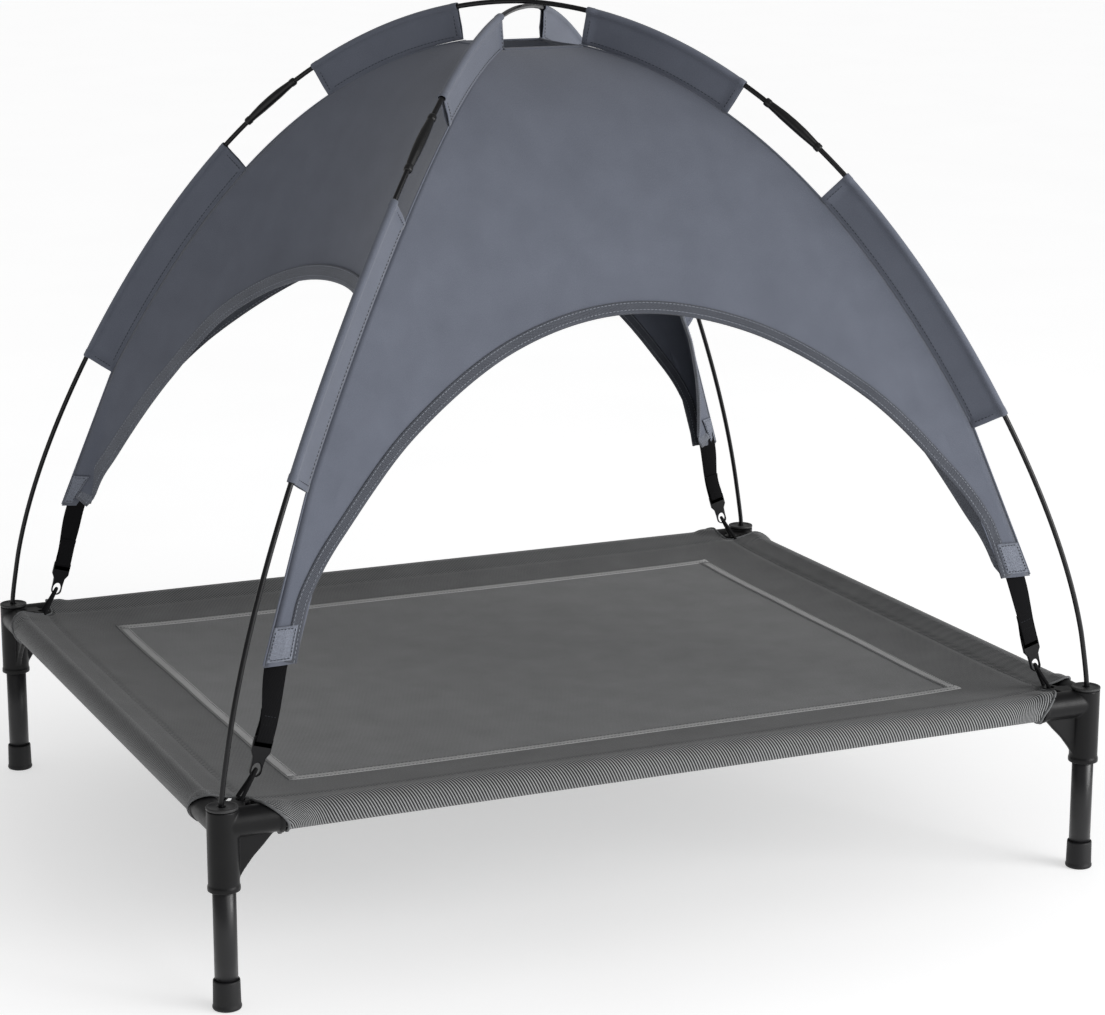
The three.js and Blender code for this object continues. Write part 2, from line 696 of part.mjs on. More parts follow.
// Pole sleeve: a channel round the rod with a fin that reaches down to the ridge seam.
function poleSleeve(corner, [from, to]) {
  const { inner, outer } = CHANNEL_RADII;
  const half = FIN_THICKNESS / 2;
  const start = Math.asin(half / outer);
  const outline = [new THREE.Vector2(SEAM_DROP - FIN_CLEARANCE, -half)];
  outline.push(new THREE.Vector2(SEAM_DROP - FIN_CLEARANCE, half));
  const arcSteps = 7;
  for (let i = 0; i <= arcSteps; i++) {
    const angle = start + ((2 * Math.PI - 2 * start) * i) / arcSteps;
    outline.push(new THREE.Vector2(outer * Math.cos(angle), outer * Math.sin(angle)));
  }
  const steps = Math.round((to - from) / 0.035);
  const stations = [];
  for (let i = 0; i <= steps; i++) {
    const t = from + ((to - from) * i) / steps;
    const mirror = new THREE.Vector3(corner.x, corner.y, 1);
    const tangent = rodPointAt(corner, t + 0.01).sub(rodPointAt(corner, t - 0.01));
    stations.push(station(rodPointAt(corner, t), tangent, inwardAt(t).multiply(mirror)));
  }
  return sweep(outline, [circle(inner, 8, true)], stations);
}

function addCanopy() {
  const wide = { arch: FRONT_ARCH, sag: FRONT_SAG, along: 'x', across: 'y', lean: STRIP_TURN.wide };
  const folded = { arch: SIDE_ARCH, sag: SIDE_SAG, along: 'y', across: 'x', lean: STRIP_TURN.folded };
  const panels = [
    ['front', { ...wide, side: -1, flip: false }],
    ['back', { ...wide, side: 1, flip: true }],
    ['left', { ...folded, side: -1, flip: true }],
    ['right', { ...folded, side: 1, flip: false }],
  ];
  for (const [name, options] of panels) {
    addMesh(`canopy_panel_${name}`, panelGeometry(options), MATERIALS.canopy);
  }
  for (const corner of CORNERS) {
    const upper = poleSleeve(corner, UPPER_SLEEVE);
    const lower = poleSleeve(corner, LOWER_SLEEVE);
    addMesh(`pole_sleeve_upper_${corner.name}`, upper, MATERIALS.canopy);
    addMesh(`pole_sleeve_lower_${corner.name}`, lower, MATERIALS.canopy);
  }
}

// ---- Straps, hooks and loops ----

// Local frame at a hook's bar: X across the strap, Y up the line of pull, Z out of the bed.
function strapFrame(corner) {
  const mirror = new THREE.Vector3(corner.x, corner.y, 1);
  const pull = PULL.clone().multiply(mirror);
  const facing = new THREE.Vector3(0, corner.y, 0);
  const out = facing.addScaledVector(pull, -facing.dot(pull)).normalize();
  const width = new THREE.Vector3().crossVectors(pull, out);
  return new THREE.Matrix4().makeBasis(width, pull, out).setPosition(BAR.clone().multiply(mirror));
}

// Webbing strap, seen from its side: a flat strip with an eye at its lower end.
function strapGeometry(corner) {
  const { inner, outer } = STRAP_EYE;
  const half = STRAP_THICKNESS / 2;
  const length = (STRAP_TOP.z - BAR.z) / PULL.z - 1.5;
  const start = Math.asin(half / outer);
  const outline = [new THREE.Vector2(length, -half), new THREE.Vector2(length, half)];
  const arcSteps = 9;
  for (let i = 0; i <= arcSteps; i++) {
    const angle = start + ((2 * Math.PI - 2 * start) * i) / arcSteps;
    outline.push(new THREE.Vector2(outer * Math.cos(angle), outer * Math.sin(angle)));
  }
  const pull = new THREE.Vector3(0, 1, 0);
  const across = new THREE.Vector3(1, 0, 0);
  const at = (x) => new THREE.Vector3(x, 0, 0);
  const ends = [station(at(-STRAP_WIDTH / 2), across, pull), station(at(STRAP_WIDTH / 2), across, pull)];
  return sweep(outline, [circle(inner, 10, true)], ends).applyMatrix4(strapFrame(corner));
}

// Flat plastic hook: a bar for the strap at the top, a slot below it and an eye at the bottom.
function hookGeometry(corner) {
  const half = HOOK.width / 2;
  const bottom = -EYE_TO_BAR - HOOK.tail;
  const shape = new THREE.Shape();
  shape.moveTo(-half, HOOK.bar);
  shape.lineTo(-half, bottom + half);
  shape.absarc(0, bottom + half, half, Math.PI, 2 * Math.PI, false);
  shape.lineTo(half, HOOK.bar);
  shape.closePath();
  const slot = new THREE.Path();
  const inSlot = HOOK.slotWidth / 2;
  slot.moveTo(-inSlot, -HOOK.bar);
  slot.lineTo(inSlot, -HOOK.bar);
  slot.lineTo(inSlot, -HOOK.bar - HOOK.slot);
  slot.lineTo(-inSlot, -HOOK.bar - HOOK.slot);
  slot.closePath();
  const eye = new THREE.Path();
  eye.absellipse(0, -EYE_TO_BAR, 4, 6, 0, 2 * Math.PI, true, 0);
  shape.holes.push(slot, eye);
  const geometry = new THREE.ExtrudeGeometry(shape, {
    depth: HOOK.thickness, bevelEnabled: false, curveSegments: 6,
  });
  geometry.translate(0, 0, -HOOK.thickness / 2);
  return geometry.applyMatrix4(strapFrame(corner));
}

// Elastic cord loop through the lug hole and the hook eye.
function loopGeometry(corner) {
  const mirror = new THREE.Vector3(corner.x, corner.y, 1);
  const inward = new THREE.Vector3(0, -1, 0);
  const height = (LUG_Z[0] + LUG_Z[1]) / 2;
  const hole = new THREE.Vector3(POST_X - LUG_OFFSET, POST_Y - LUG_OFFSET, height);
  const edge = hole.clone().addScaledVector(inward, 11.5);
  const under = hole.clone().addScaledVector(inward, 5.7).setZ(LUG_Z[0] - 3.5);
  const outerSide = hole.clone().lerp(EYE, 0.55).addScaledVector(inward, -4.5);
  const innerSide = edge.clone().lerp(EYE, 0.55).addScaledVector(inward, 4.5);
  const route = [under, hole, outerSide, EYE.clone(), innerSide, edge];
  const curve = new THREE.CatmullRomCurve3(route.map((point) => point.clone().multiply(mirror)),
    true, 'centripetal');
  const points = curve.getPoints(18).slice(0, -1);
  const side = inward.clone().multiply(mirror).cross(UP);
  return sweep(circle(LOOP_RADIUS, 6), [], stationsAlong(points, () => side, true), true);
}

function addFastenings() {
  for (const corner of CORNERS) {
    addMesh(`strap_${corner.name}`, strapGeometry(corner), MATERIALS.webbing);
    addMesh(`hook_${corner.name}`, hookGeometry(corner), MATERIALS.plastic);
    addMesh(`elastic_loop_${corner.name}`, loopGeometry(corner), MATERIALS.webbing);
  }
}

addFrame();
addBed();
addPoles();
addCanopy();
addFastenings();

export default object;
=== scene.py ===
"""Raised pet bed with a sun canopy: the looks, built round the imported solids."""

import math

import bmesh
import bpy
import numpy as np
from mathutils import Matrix, Vector


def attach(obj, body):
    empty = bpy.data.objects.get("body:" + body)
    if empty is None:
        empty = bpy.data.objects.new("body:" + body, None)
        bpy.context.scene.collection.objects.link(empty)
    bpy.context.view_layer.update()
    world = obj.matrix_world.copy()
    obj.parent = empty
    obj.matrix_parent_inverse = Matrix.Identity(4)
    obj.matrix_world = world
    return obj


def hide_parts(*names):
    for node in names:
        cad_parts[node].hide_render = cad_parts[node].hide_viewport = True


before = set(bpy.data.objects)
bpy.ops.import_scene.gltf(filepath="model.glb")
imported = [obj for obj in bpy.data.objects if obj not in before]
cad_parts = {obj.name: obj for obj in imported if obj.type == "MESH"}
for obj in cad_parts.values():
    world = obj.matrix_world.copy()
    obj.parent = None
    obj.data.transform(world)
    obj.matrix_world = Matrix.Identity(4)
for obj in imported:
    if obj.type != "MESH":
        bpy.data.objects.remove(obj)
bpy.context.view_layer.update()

MM = 0.001

# ---- Driving dimensions (mm), as in the solids ----

POST_X = 443
POST_Y = 367
CAP_TOP = 187
CAP_RIM = 2.7
SLEEVE_RADIUS = 14
SLEEVE_BOTTOM = 110
ARM_RADIUS = 13.25
ARM_LENGTH = 54
ARM_Z = 170.5
GUSSET_THICKNESS = 5
LUG_OFFSET = 25
LUG_RADIUS = 8.5
LUG_HOLE = 4
LUG_Z = (177, 182)
LEG_RADIUS = 10.5
LEG_Z = (5, 148)
FOOT_HEIGHT = 27.5
RAIL_RADIUS = 10.6
RAIL_INSET = 17
NOTCH = 36
NOTCH_ROUND = 16
NOTCH_X = POST_X - NOTCH
NOTCH_Y = POST_Y - NOTCH
POCKET_END = 57  # where the pockets' undersides end, from the post axis
COLLAR_CLEAR = (50, 62)  # span over which a pocket widens to pass over the arm's collar
COLLAR_LIFT = 2.4
POCKET_RADIUS = 12.8
TAPE_X = 347
TAPE_Y = 278
TAPE_WIDTH = 11

POLE_RADIUS = 2.5
POLE_HALF_LENGTH = 939.6
POLE_SLOPE = (2.3227, -2.2404, 1.4486)
POLE_BOW = (38.3, 7.9)
CROSSING_HALF_GAP = 2.9
CROSSING_BLEND = 0.35
POLE_BEND_END = 0.94
POLE_FOOT = 152.6
FERRULE_AT = 0.326
FERRULE_LENGTH = 70

SEAM_DROP = 33
SHADE_CENTRE = np.array([0, 0, 350.0])
UPPER_SLEEVE = (0.075, 0.262)
LOWER_SLEEVE = (0.4, 0.695)
PANEL_TOP = 0.082
TOP_SHARE = 0.87  # where the mesh column of an arch's end starts along a panel's top edge
RIDGE_SHARE = 0.8
TIP = np.array([393.0, 337.0, 297.0])  # lower end of the back right ridge
STRIP_LIMIT = 14
STRIP_TURN = {"wide": 0.1, "folded": -1.7}  # how the strips of a leg lean, per mm of width
FRONT_ARCH = ((0, 570), (120, 546), (230, 481), (308, 402), (341, 358), (353, 330), (362.5, 297))
SIDE_ARCH = ((0, 574), (100, 562), (180, 516), (232, 440), (284, 362), (308, 330), (326, 297))
FRONT_SAG = 20
SIDE_SAG = 78

STRAP_WIDTH = (20, 15.6)  # at the leg tip and at the hook
STRAP_THICKNESS = 1.4
STRAP_ASIDE = 4  # shift of a strap's top towards its ridge
STRAP_TOP = np.array([375.0, 338.0, 297.0])  # where the strap leaves the leg tip
EYE = np.array([402.0, 338.0, 206.0])
EYE_TO_BAR = 28
HOOK = {"width": 18, "thickness": 3.4, "bar": 1.6, "slot": 5, "slot_width": 16, "tail": 9}
LOOP_RADIUS = 1.8

CORNERS = {
    "front_left": (-1, -1),
    "front_right": (1, -1),
    "back_left": (-1, 1),
    "back_right": (1, 1),
}
UP = np.array([0.0, 0.0, 1.0])


# ---- Small vector helpers ----

def unit(v):
    v = np.asarray(v, float)
    return v / max(np.linalg.norm(v), 1e-12)


def square_to(v, direction):
    """The unit part of v that is square to a unit direction."""
    return unit(v - direction * np.dot(v, direction))


def flip(point, corner):
    x, y = CORNERS[corner]
    return np.asarray(point, float) * (x, y, 1)


def smoothstep(a, b, x):
    x = min(max((x - a) / (b - a), 0), 1)
    return x * x * (3 - 2 * x)


def catmull(points, count):
    """Evenly indexed points on a Catmull-Rom spline through the given points."""
    p = [np.asarray(q, float) for q in points]
    p = [2 * p[0] - p[1], *p, 2 * p[-1] - p[-2]]
    out = []
    spans = len(p) - 3
    for i in range(count + 1):
        place = i / count * spans
        k = min(int(place), spans - 1)
        t = place - k
        a, b, c, d = p[k:k + 4]
        out.append(0.5 * (2 * b + (c - a) * t + (2 * a - 5 * b + 4 * c - d) * t * t
                          + (3 * b - a - 3 * c + d) * t ** 3))
    return out


def lengths(points):
    steps = np.linalg.norm(np.diff(np.array(points), axis=0), axis=1)
    return np.concatenate([[0], np.cumsum(steps)])


def resample(points, step):
    """Points at equal distances along a polyline."""
    points = np.array(points, float)
    run = lengths(points)
    count = max(2, int(round(run[-1] / step)) + 1)
    at = np.linspace(0, run[-1], count)
    return np.stack([np.interp(at, run, points[:, k]) for k in range(3)], axis=1)


# ---- Mesh helpers ----

def add_object(name, mesh, material, body, slot, replaces=(), smooth=True):
    obj = bpy.data.objects.new(name, mesh)
    bpy.context.scene.collection.objects.link(obj)
    mesh.materials.append(MAT[material])
    if smooth:
        mesh.polygons.foreach_set("use_smooth", [True] * len(mesh.polygons))
    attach(obj, body)
    if replaces:
        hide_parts(*replaces)
    return obj


def new_mesh(name, points, faces, uvs=None):
    """Mesh from points in mm, with optional UVs in mm per point."""
    mesh = bpy.data.meshes.new(name)
    mesh.from_pydata([tuple(np.asarray(p) * MM) for p in points], [], faces)
    if uvs is not None:
        layer = mesh.uv_layers.new(name="weave")
        flat = np.array(uvs, float) * MM
        index = np.empty(len(mesh.loops), int)
        mesh.loops.foreach_get("vertex_index", index)
        layer.data.foreach_set("uv", flat[index].ravel())
    mesh.validate()
    mesh.update()
    return mesh


def with_modifiers(mesh, name, setup):
    """The mesh after modifiers that setup adds to a passing object."""
    obj = bpy.data.objects.new(name + "_tmp", mesh)
    bpy.context.scene.collection.objects.link(obj)
    setup(obj)
    depsgraph = bpy.context.evaluated_depsgraph_get()
    result = bpy.data.meshes.new_from_object(obj.evaluated_get(depsgraph))
    result.name = name
    bpy.data.objects.remove(obj)
    return result


def thickened(mesh, name, thickness, offset=-1.0):
    def setup(obj):
        mod = obj.modifiers.new("thickness", "SOLIDIFY")
        mod.thickness = thickness * MM
        mod.offset = offset
    return with_modifiers(mesh, name, setup)


def settled(mesh, weld=0.0, towards=None):
    """Welds near points and makes the faces agree. The faces of an open sheet turn to the side
    that towards(face) gives."""
    bm = bmesh.new()
    bm.from_mesh(mesh)
    if weld:
        bmesh.ops.remove_doubles(bm, verts=bm.verts, dist=weld)
    bmesh.ops.recalc_face_normals(bm, faces=bm.faces)
    if towards and sum(f.normal.dot(towards(f)) for f in bm.faces) < 0:
        bmesh.ops.reverse_faces(bm, faces=bm.faces)
    bm.to_mesh(mesh)
    bm.free()
    return mesh


def solid_mesh(name, verts, faces, uvs=None):
    return settled(new_mesh(name, verts, faces, uvs), weld=1e-7)


def facing_mesh(mesh, direction, weld=0.0):
    """An open sheet with its faces to the side of a direction."""
    return settled(mesh, weld, lambda face: Vector(direction))


def end_faces(count, rows):
    """The two faces that close a tube of a number of rings."""
    return [tuple(range(count)), tuple(range((rows - 1) * count, rows * count))]


def prism(outlines):
    """Closed piece between two outlines of as many points."""
    n = len(outlines[0])
    faces = [tuple(range(n)), tuple(range(n, 2 * n))[::-1]]
    faces += [(k, (k + 1) % n, (k + 1) % n + n, k + n) for k in range(n)]
    return [p for outline in outlines for p in outline], faces


def grid_faces(rows, columns, closed_rows=False, closed_columns=False, start=0):
    faces = []
    for r in range(rows if closed_rows else rows - 1):
        for c in range(columns if closed_columns else columns - 1):
            r2, c2 = (r + 1) % rows, (c + 1) % columns
            faces.append((start + r * columns + c, start + r * columns + c2,
                          start + r2 * columns + c2, start + r2 * columns + c))
    return faces


def frames_along(points, side, closed=False):
    """Local frames (point, side axis, third axis) along a polyline."""
    points = [np.asarray(p, float) for p in points]
    count = len(points)
    out = []
    for i, p in enumerate(points):
        if closed:
            a, b = points[i - 1], points[(i + 1) % count]
        else:
            a, b = points[max(i - 1, 0)], points[min(i + 1, count - 1)]
        tangent = unit(b - a)
        given = side(i, p) if callable(side) else side
        x = square_to(given, tangent)
        out.append((p, x, np.cross(tangent, x)))
    return out


def swept(points, side, section, closed=False):
    """Points and faces of a section (list of (x, y), or a function of the station's number) swept
    along a polyline."""
    frames = frames_along(points, side, closed)
    verts, uvs = [], []
    run = lengths(points)
    for i, (p, x, y) in enumerate(frames):
        ring = section(i) if callable(section) else section
        around = 0
        for k, (u, v) in enumerate(ring):
            if k:
                around += math.hypot(u - ring[k - 1][0], v - ring[k - 1][1])
            verts.append(p + x * u + y * v)
            uvs.append((around, run[i]))
    n = len(ring)
    faces = grid_faces(len(frames), n, closed_rows=closed, closed_columns=True)
    if not closed:
        faces.append(tuple(range(n))[::-1])
        faces.append(tuple(range((len(frames) - 1) * n, len(frames) * n)))
    return verts, faces, uvs


def swept_mesh(name, points, side, section, closed=False):
    return solid_mesh(name, *swept(points, side, section, closed))


def circle(radius, sides=20):
    return [(radius * math.cos(2 * math.pi * i / sides), radius * math.sin(2 * math.pi * i / sides))
            for i in range(sides)]


def rounded_strip(width, thickness, round_steps=3):
    """Outline of a flat band with rounded edges."""
    r = thickness / 2
    half = width / 2 - r
    ring = []
    for centre, start in ((half, -90), (-half, 90)):
        for k in range(round_steps * 2 + 1):
            a = math.radians(start + 180 * k / (round_steps * 2))
            ring.append((centre + r * math.cos(a), r * math.sin(a)))
    return ring


def lathe_mesh(name, profile, segments=64):
    """Turns (radius, height) points in mm about Z."""
    verts = []
    for radius, height in profile:
        for k in range(segments):
            a = 2 * math.pi * k / segments
            verts.append((max(radius, 1e-3) * math.cos(a), max(radius, 1e-3) * math.sin(a), height))
    faces = grid_faces(len(profile), segments, closed_columns=True)
    return solid_mesh(name, verts, faces + end_faces(segments, len(profile)))


def moved(mesh, matrix, name):
    copy = mesh.copy()
    copy.name = name
    copy.transform(matrix)
    if matrix.determinant() < 0:
        copy.flip_normals()
    return copy


def joined(name, parts):
    """One mesh from several (points, faces[, uvs]) sets."""
    verts, faces, uvs = [], [], []
    for part in parts:
        base = len(verts)
        verts.extend(part[0])
        faces.extend(tuple(i + base for i in f) for f in part[1])
        uvs.extend(part[2] if len(part) > 2 else [(0, 0)] * len(part[0]))
    return new_mesh(name, verts, faces, uvs)


# ---- Materials ----

class Nodes:
    """A short way to write a material's nodes."""

    def __init__(self, name):
        self.material = bpy.data.materials.new(name)
        self.material.use_nodes = True
        self.tree = self.material.node_tree
        self.shader = self.tree.nodes["Principled BSDF"]

    def node(self, kind, **values):
        node = self.tree.nodes.new(kind)
        for key, value in values.items():
            if hasattr(node, key):
                setattr(node, key, value)
            else:
                node.inputs[key.replace("_", " ")].default_value = value
        return node

    def link(self, a, b):
        self.tree.links.new(a, b)

    def math(self, operation, a, b=None):
        node = self.tree.nodes.new("ShaderNodeMath")
        node.operation = operation
        for socket, value in zip(node.inputs, (a, b)):
            if value is None:
                continue
            if isinstance(value, (int, float)):
                socket.default_value = value
            else:
                self.link(value, socket)
        return node.outputs[0]

    def add(self, a, b):
        return self.math("ADD", a, b)

    def sub(self, a, b):
        return self.math("SUBTRACT", a, b)

    def mul(self, a, b):
        return self.math("MULTIPLY", a, b)

    def coordinates(self, uv=False):
        node = self.tree.nodes.new("ShaderNodeTexCoord")
        return node.outputs["UV" if uv else "Object"]

    def noise(self, vector, scale, detail=3.0, roughness=0.55):
        node = self.tree.nodes.new("ShaderNodeTexNoise")
        node.inputs["Scale"].default_value = scale
        node.inputs["Detail"].default_value = detail
        node.inputs["Roughness"].default_value = roughness
        self.link(vector, node.inputs["Vector"])
        return node.outputs["Fac"]

    def ramp(self, value, stops):
        node = self.tree.nodes.new("ShaderNodeValToRGB")
        ramp = node.color_ramp
        for k, (at, color) in enumerate(stops):
            element = ramp.elements[k] if k < 2 else ramp.elements.new(at)
            element.position = at
            element.color = (*color, 1)
        self.link(value, node.inputs["Fac"])
        return node.outputs["Color"]

    def bump(self, height, strength, distance):
        node = self.tree.nodes.new("ShaderNodeBump")
        node.inputs["Strength"].default_value = strength
        node.inputs["Distance"].default_value = distance
        self.link(height, node.inputs["Height"])
        return node.outputs["Normal"]

    def set(self, **values):
        for key, value in values.items():
            self.shader.inputs[key.replace("_", " ")].default_value = value


def shade(color, k):
    return tuple(min(c * k, 1) for c in color)


def moulded(name, color, roughness, grain=0.12, scale=900, specular=0.4, coat=0.0):
    """Moulded plastic, rubber or powder coat: fine grain, faint cloudiness and handling marks."""
    m = Nodes(name)
    at = m.coordinates()
    fine = m.noise(at, scale, 2)
    cloud = m.noise(at, 35, 4)
    m.link(m.ramp(cloud, ((0.3, shade(color, 0.86)), (0.75, shade(color, 1.2)))),
           m.shader.inputs["Base Color"])
    rough = m.math("MULTIPLY_ADD", m.noise(at, 120, 5), 0.22)
    rough.node.inputs[2].default_value = roughness - 0.11
    m.link(rough, m.shader.inputs["Roughness"])
    m.link(m.bump(fine, grain, 0.0004), m.shader.inputs["Normal"])
    m.set(Specular_IOR_Level=specular, Coat_Weight=coat, Coat_Roughness=0.25)
    return m.material


def woven(name, dark, light, pitch, twill=False, relief=0.25, fleck=0.0, roughness=0.85,
          sheen=0.15, contrast=0.45, specular=0.3, on_bed=False):
    """Woven cloth on UVs in metres: threads at a pitch in mm, cloudiness and loose flecks. On the
    bed the threads show most round the pockets, and the margin outside the tapes is darker."""
    m = Nodes(name)
    uv = m.coordinates(uv=True)
    split = m.node("ShaderNodeSeparateXYZ")
    m.link(uv, split.inputs[0])
    k = 2 * math.pi / (pitch * MM)
    u, v = split.outputs["X"], split.outputs["Y"]
    wobble = m.mul(m.noise(uv, 90, 2), 0.5 if on_bed else 1.2)
    if twill:
        steep = m.add(u, m.mul(v, 0.5))
        if on_bed:
            turned = m.add(v, m.mul(u, 0.5))
            at_side = m.math("GREATER_THAN", m.math("ABSOLUTE", u), (POST_X - 4) * MM)
            swap = m.mul(m.sub(turned, steep), at_side)
            steep = m.add(steep, swap)
        first = m.math("SINE", m.add(m.mul(steep, k), wobble))
        second = m.math("SINE", m.mul(m.sub(u, v), k * 1.4))
        threads = m.add(m.mul(first, 0.4), m.mul(second, 0.1))
    else:
        first = m.math("SINE", m.add(m.mul(u, k), wobble))
        second = m.math("SINE", m.mul(v, k))
        threads = m.mul(m.mul(first, second), 0.5)
    height = m.add(threads, 0.5)
    cloud = m.noise(uv, 22, 4)
    speck = m.noise(uv, 900, 3)
    tone = m.mul(m.sub(height, 0.5), contrast * 2)
    if on_bed:
        def outside(half_x, half_y):
            past = [m.sub(m.math("ABSOLUTE", c), half * MM)
                    for c, half in ((u, half_x), (v, half_y))]
            return m.math("GREATER_THAN", m.math("MAXIMUM", *past), 0.0)
        show = m.add(m.mul(outside(POST_X - 4, POST_Y - 4), 0.6), 0.4)
        tone = m.mul(tone, show)
        tone = m.sub(tone, m.mul(outside(TAPE_X, TAPE_Y), 0.2))
    tone = m.add(tone, m.mul(cloud, 0.2 if on_bed else 0.35))
    grain = 0.3 if on_bed else 0.5 + fleck
    tone = m.add(tone, m.mul(m.sub(speck, 0.5), grain))
    tone = m.add(tone, 0.33)
    m.link(m.ramp(tone, ((0.05, dark), (0.95, light))), m.shader.inputs["Base Color"])
    relief_height = m.add(height, m.mul(speck, 0.6 + fleck))
    m.link(m.bump(relief_height, relief, 0.0005), m.shader.inputs["Normal"])
    m.set(Roughness=roughness, Sheen_Weight=sheen, Sheen_Roughness=0.5,
          Specular_IOR_Level=specular)
    return m.material


def make_materials():
    return {
        "plastic": moulded("moulded_black", (0.006, 0.006, 0.0065), 0.38, 0.1, 700, 0.2),
        "cap": moulded("moulded_grey", (0.035, 0.035, 0.036), 0.42, 0.1, 700, 0.3),
        "coat": moulded("black_powder_coat", (0.009, 0.009, 0.01), 0.32, 0.06, 1200, 0.4),
        "rubber": moulded("black_rubber", (0.01, 0.01, 0.011), 0.5, 0.2, 500, 0.3),
        "rod": moulded("glass_fibre_rod", (0.004, 0.004, 0.005), 0.3, 0.03, 1500, 0.3, 0.05),
        "ferrule": moulded("ferrule_black", (0.005, 0.005, 0.0055), 0.3, 0.05, 900, 0.35),
        "hook": moulded("hook_plastic", (0.004, 0.004, 0.005), 0.4, 0.08, 800, 0.2),
        "bed": woven("bed_mesh_cloth", (0.012, 0.013, 0.0135), (0.37, 0.375, 0.38), 2.9,
                     twill=True, relief=0.4, contrast=0.75, on_bed=True),
        "bed_edge": woven("bed_edge_binding", (0.05, 0.052, 0.055), (0.2, 0.205, 0.21), 1.2,
                          relief=0.3),
        "tape": woven("bed_tape_cloth", (0.24, 0.24, 0.24), (0.52, 0.52, 0.52), 1.1, relief=0.25),
        "canopy": woven("canopy_cloth", (0.062, 0.07, 0.092), (0.165, 0.18, 0.225), 0.8,
                        relief=0.12, sheen=0.2, contrast=0.2),
        "binding": woven("canopy_binding_cloth", (0.035, 0.039, 0.049), (0.23, 0.245, 0.285), 1.6,
                         twill=True, relief=0.5, fleck=0.9, contrast=0.25),
        # Darker copy of the canopy binding cloth for the front and back arches: painted shade.
        "painted_shade_binding": woven("front_binding_cloth", (0.02, 0.023, 0.03), (0.115, 0.123, 0.147),
                               1.6, twill=True, relief=0.5, fleck=0.7, contrast=0.25),
        "patch": woven("canopy_patch_cloth", (0.05, 0.057, 0.076), (0.32, 0.345, 0.41), 1.3,
                       relief=0.5, fleck=1.0, contrast=0.25),
        "webbing": woven("black_webbing", (0.003, 0.003, 0.0035), (0.01, 0.01, 0.011), 1.5,
                         twill=True, relief=0.4, sheen=0, specular=0.08),
        "elastic": woven("black_braid", (0.003, 0.003, 0.0035), (0.014, 0.014, 0.015), 1.0,
                         twill=True, relief=0.4, sheen=0, specular=0.2),
        "thread_dark": moulded("dark_thread", (0.015, 0.017, 0.022), 0.7, 0.3, 900),
        "thread_light": moulded("light_thread", (0.26, 0.28, 0.32), 0.7, 0.3, 900),
        "thread_grey": moulded("grey_thread", (0.13, 0.133, 0.137), 0.7, 0.3, 900),
    }


MAT = make_materials()


# ---- Rigid frame ----

def corner_solids():
    """Overlapping closed pieces of a corner fitting, round the post axis, arms to -X and -Y."""
    parts = []

    def rod(radius, a, b):
        a, b = np.array(a, float), np.array(b, float)
        side = UP if abs(b[2] - a[2]) < 1 else np.array([1.0, 0, 0])
        parts.append(swept([a, b], side, circle(radius, 72)))

    top = CAP_TOP - CAP_RIM - 0.3
    rod(SLEEVE_RADIUS, (0, 0, SLEEVE_BOTTOM), (0, 0, top))
    rod(SLEEVE_RADIUS + 0.7, (0, 0, SLEEVE_BOTTOM), (0, 0, SLEEVE_BOTTOM + 4.5))
    for axis in (np.array([-1.0, 0, 0]), np.array([0, -1.0, 0])):
        across = np.array([axis[1], axis[0], 0])
        at = lambda d, z=ARM_Z: axis * d + (0, 0, z)
        rod(ARM_RADIUS, at(0), at(ARM_LENGTH - 1))
        rod(ARM_RADIUS + 0.9, at(ARM_LENGTH - 4, ARM_Z - 0.7), at(ARM_LENGTH, ARM_Z - 0.7))
        nub = [at(ARM_LENGTH - 4, ARM_Z - 14), at(ARM_LENGTH, ARM_Z - 14)]
        parts.append(swept(nub, across, circle(2.6, 16)))
        outline = [(8, ARM_Z - 8), (47, ARM_Z - 8), (47, ARM_Z - 12), (38, ARM_Z - 22),
                   (27, ARM_Z - 33), (18, SLEEVE_BOTTOM + 16), (13, SLEEVE_BOTTOM + 8),
                   (8, SLEEVE_BOTTOM + 8)]
        half = GUSSET_THICKNESS / 2
        parts.append(prism([[axis * d + across * offset + (0, 0, z) for d, z in outline]
                            for offset in (-half, half)]))
    lo, hi = LUG_Z
    ring_at = np.array([-LUG_OFFSET, -LUG_OFFSET, 0.0])
    section = [(LUG_HOLE, lo), (LUG_RADIUS, lo), (LUG_RADIUS, hi), (LUG_HOLE, hi)]
    verts = []
    sides = 48
    for k in range(sides):
        a = 2 * math.pi * k / sides
        for r, z in section:
            verts.append(ring_at + (r * math.cos(a), r * math.sin(a), z))
    faces = grid_faces(sides, 4, closed_rows=True, closed_columns=True)
    parts.append((verts, faces))
    bridge = [(-4, -22), (-4, -4), (-22, -4), (-26, -16.8), (-16.8, -26)]
    web_x = [(-28.5, -4), (-46, -4), (-46, -30), (-40, -40), (-28.5, -42)]
    web_y = [(-4, -4), (-22.8, -4), (-22.8, -42), (-14, -46), (-4, -46)]
    webs_z = (ARM_Z + 1, ARM_Z + 5.2)
    for outline, levels in ((bridge, (lo, hi)), (web_x, webs_z), (web_y, webs_z)):
        parts.append(prism([[(x, y, z) for x, y in outline] for z in levels]))
    return parts


def corner_mesh():
    """The fitting as one moulded body, its edges and inner corners softened."""
    whole = bmesh.new()
    for k, part in enumerate(corner_solids()):
        whole.from_mesh(solid_mesh(f"fitting_part_{k}", part[0], part[1]))
    merged = bpy.data.meshes.new("fitting_raw")
    whole.to_mesh(merged)
    whole.free()

    def setup(obj):
        mod = obj.modifiers.new("voxels", "REMESH")
        mod.mode = "VOXEL"
        mod.voxel_size = 0.85 * MM
        mod.adaptivity = 0
        smooth = obj.modifiers.new("smooth", "SMOOTH")
        smooth.factor = 0.5
        smooth.iterations = 5
    return with_modifiers(merged, "fitting", setup)


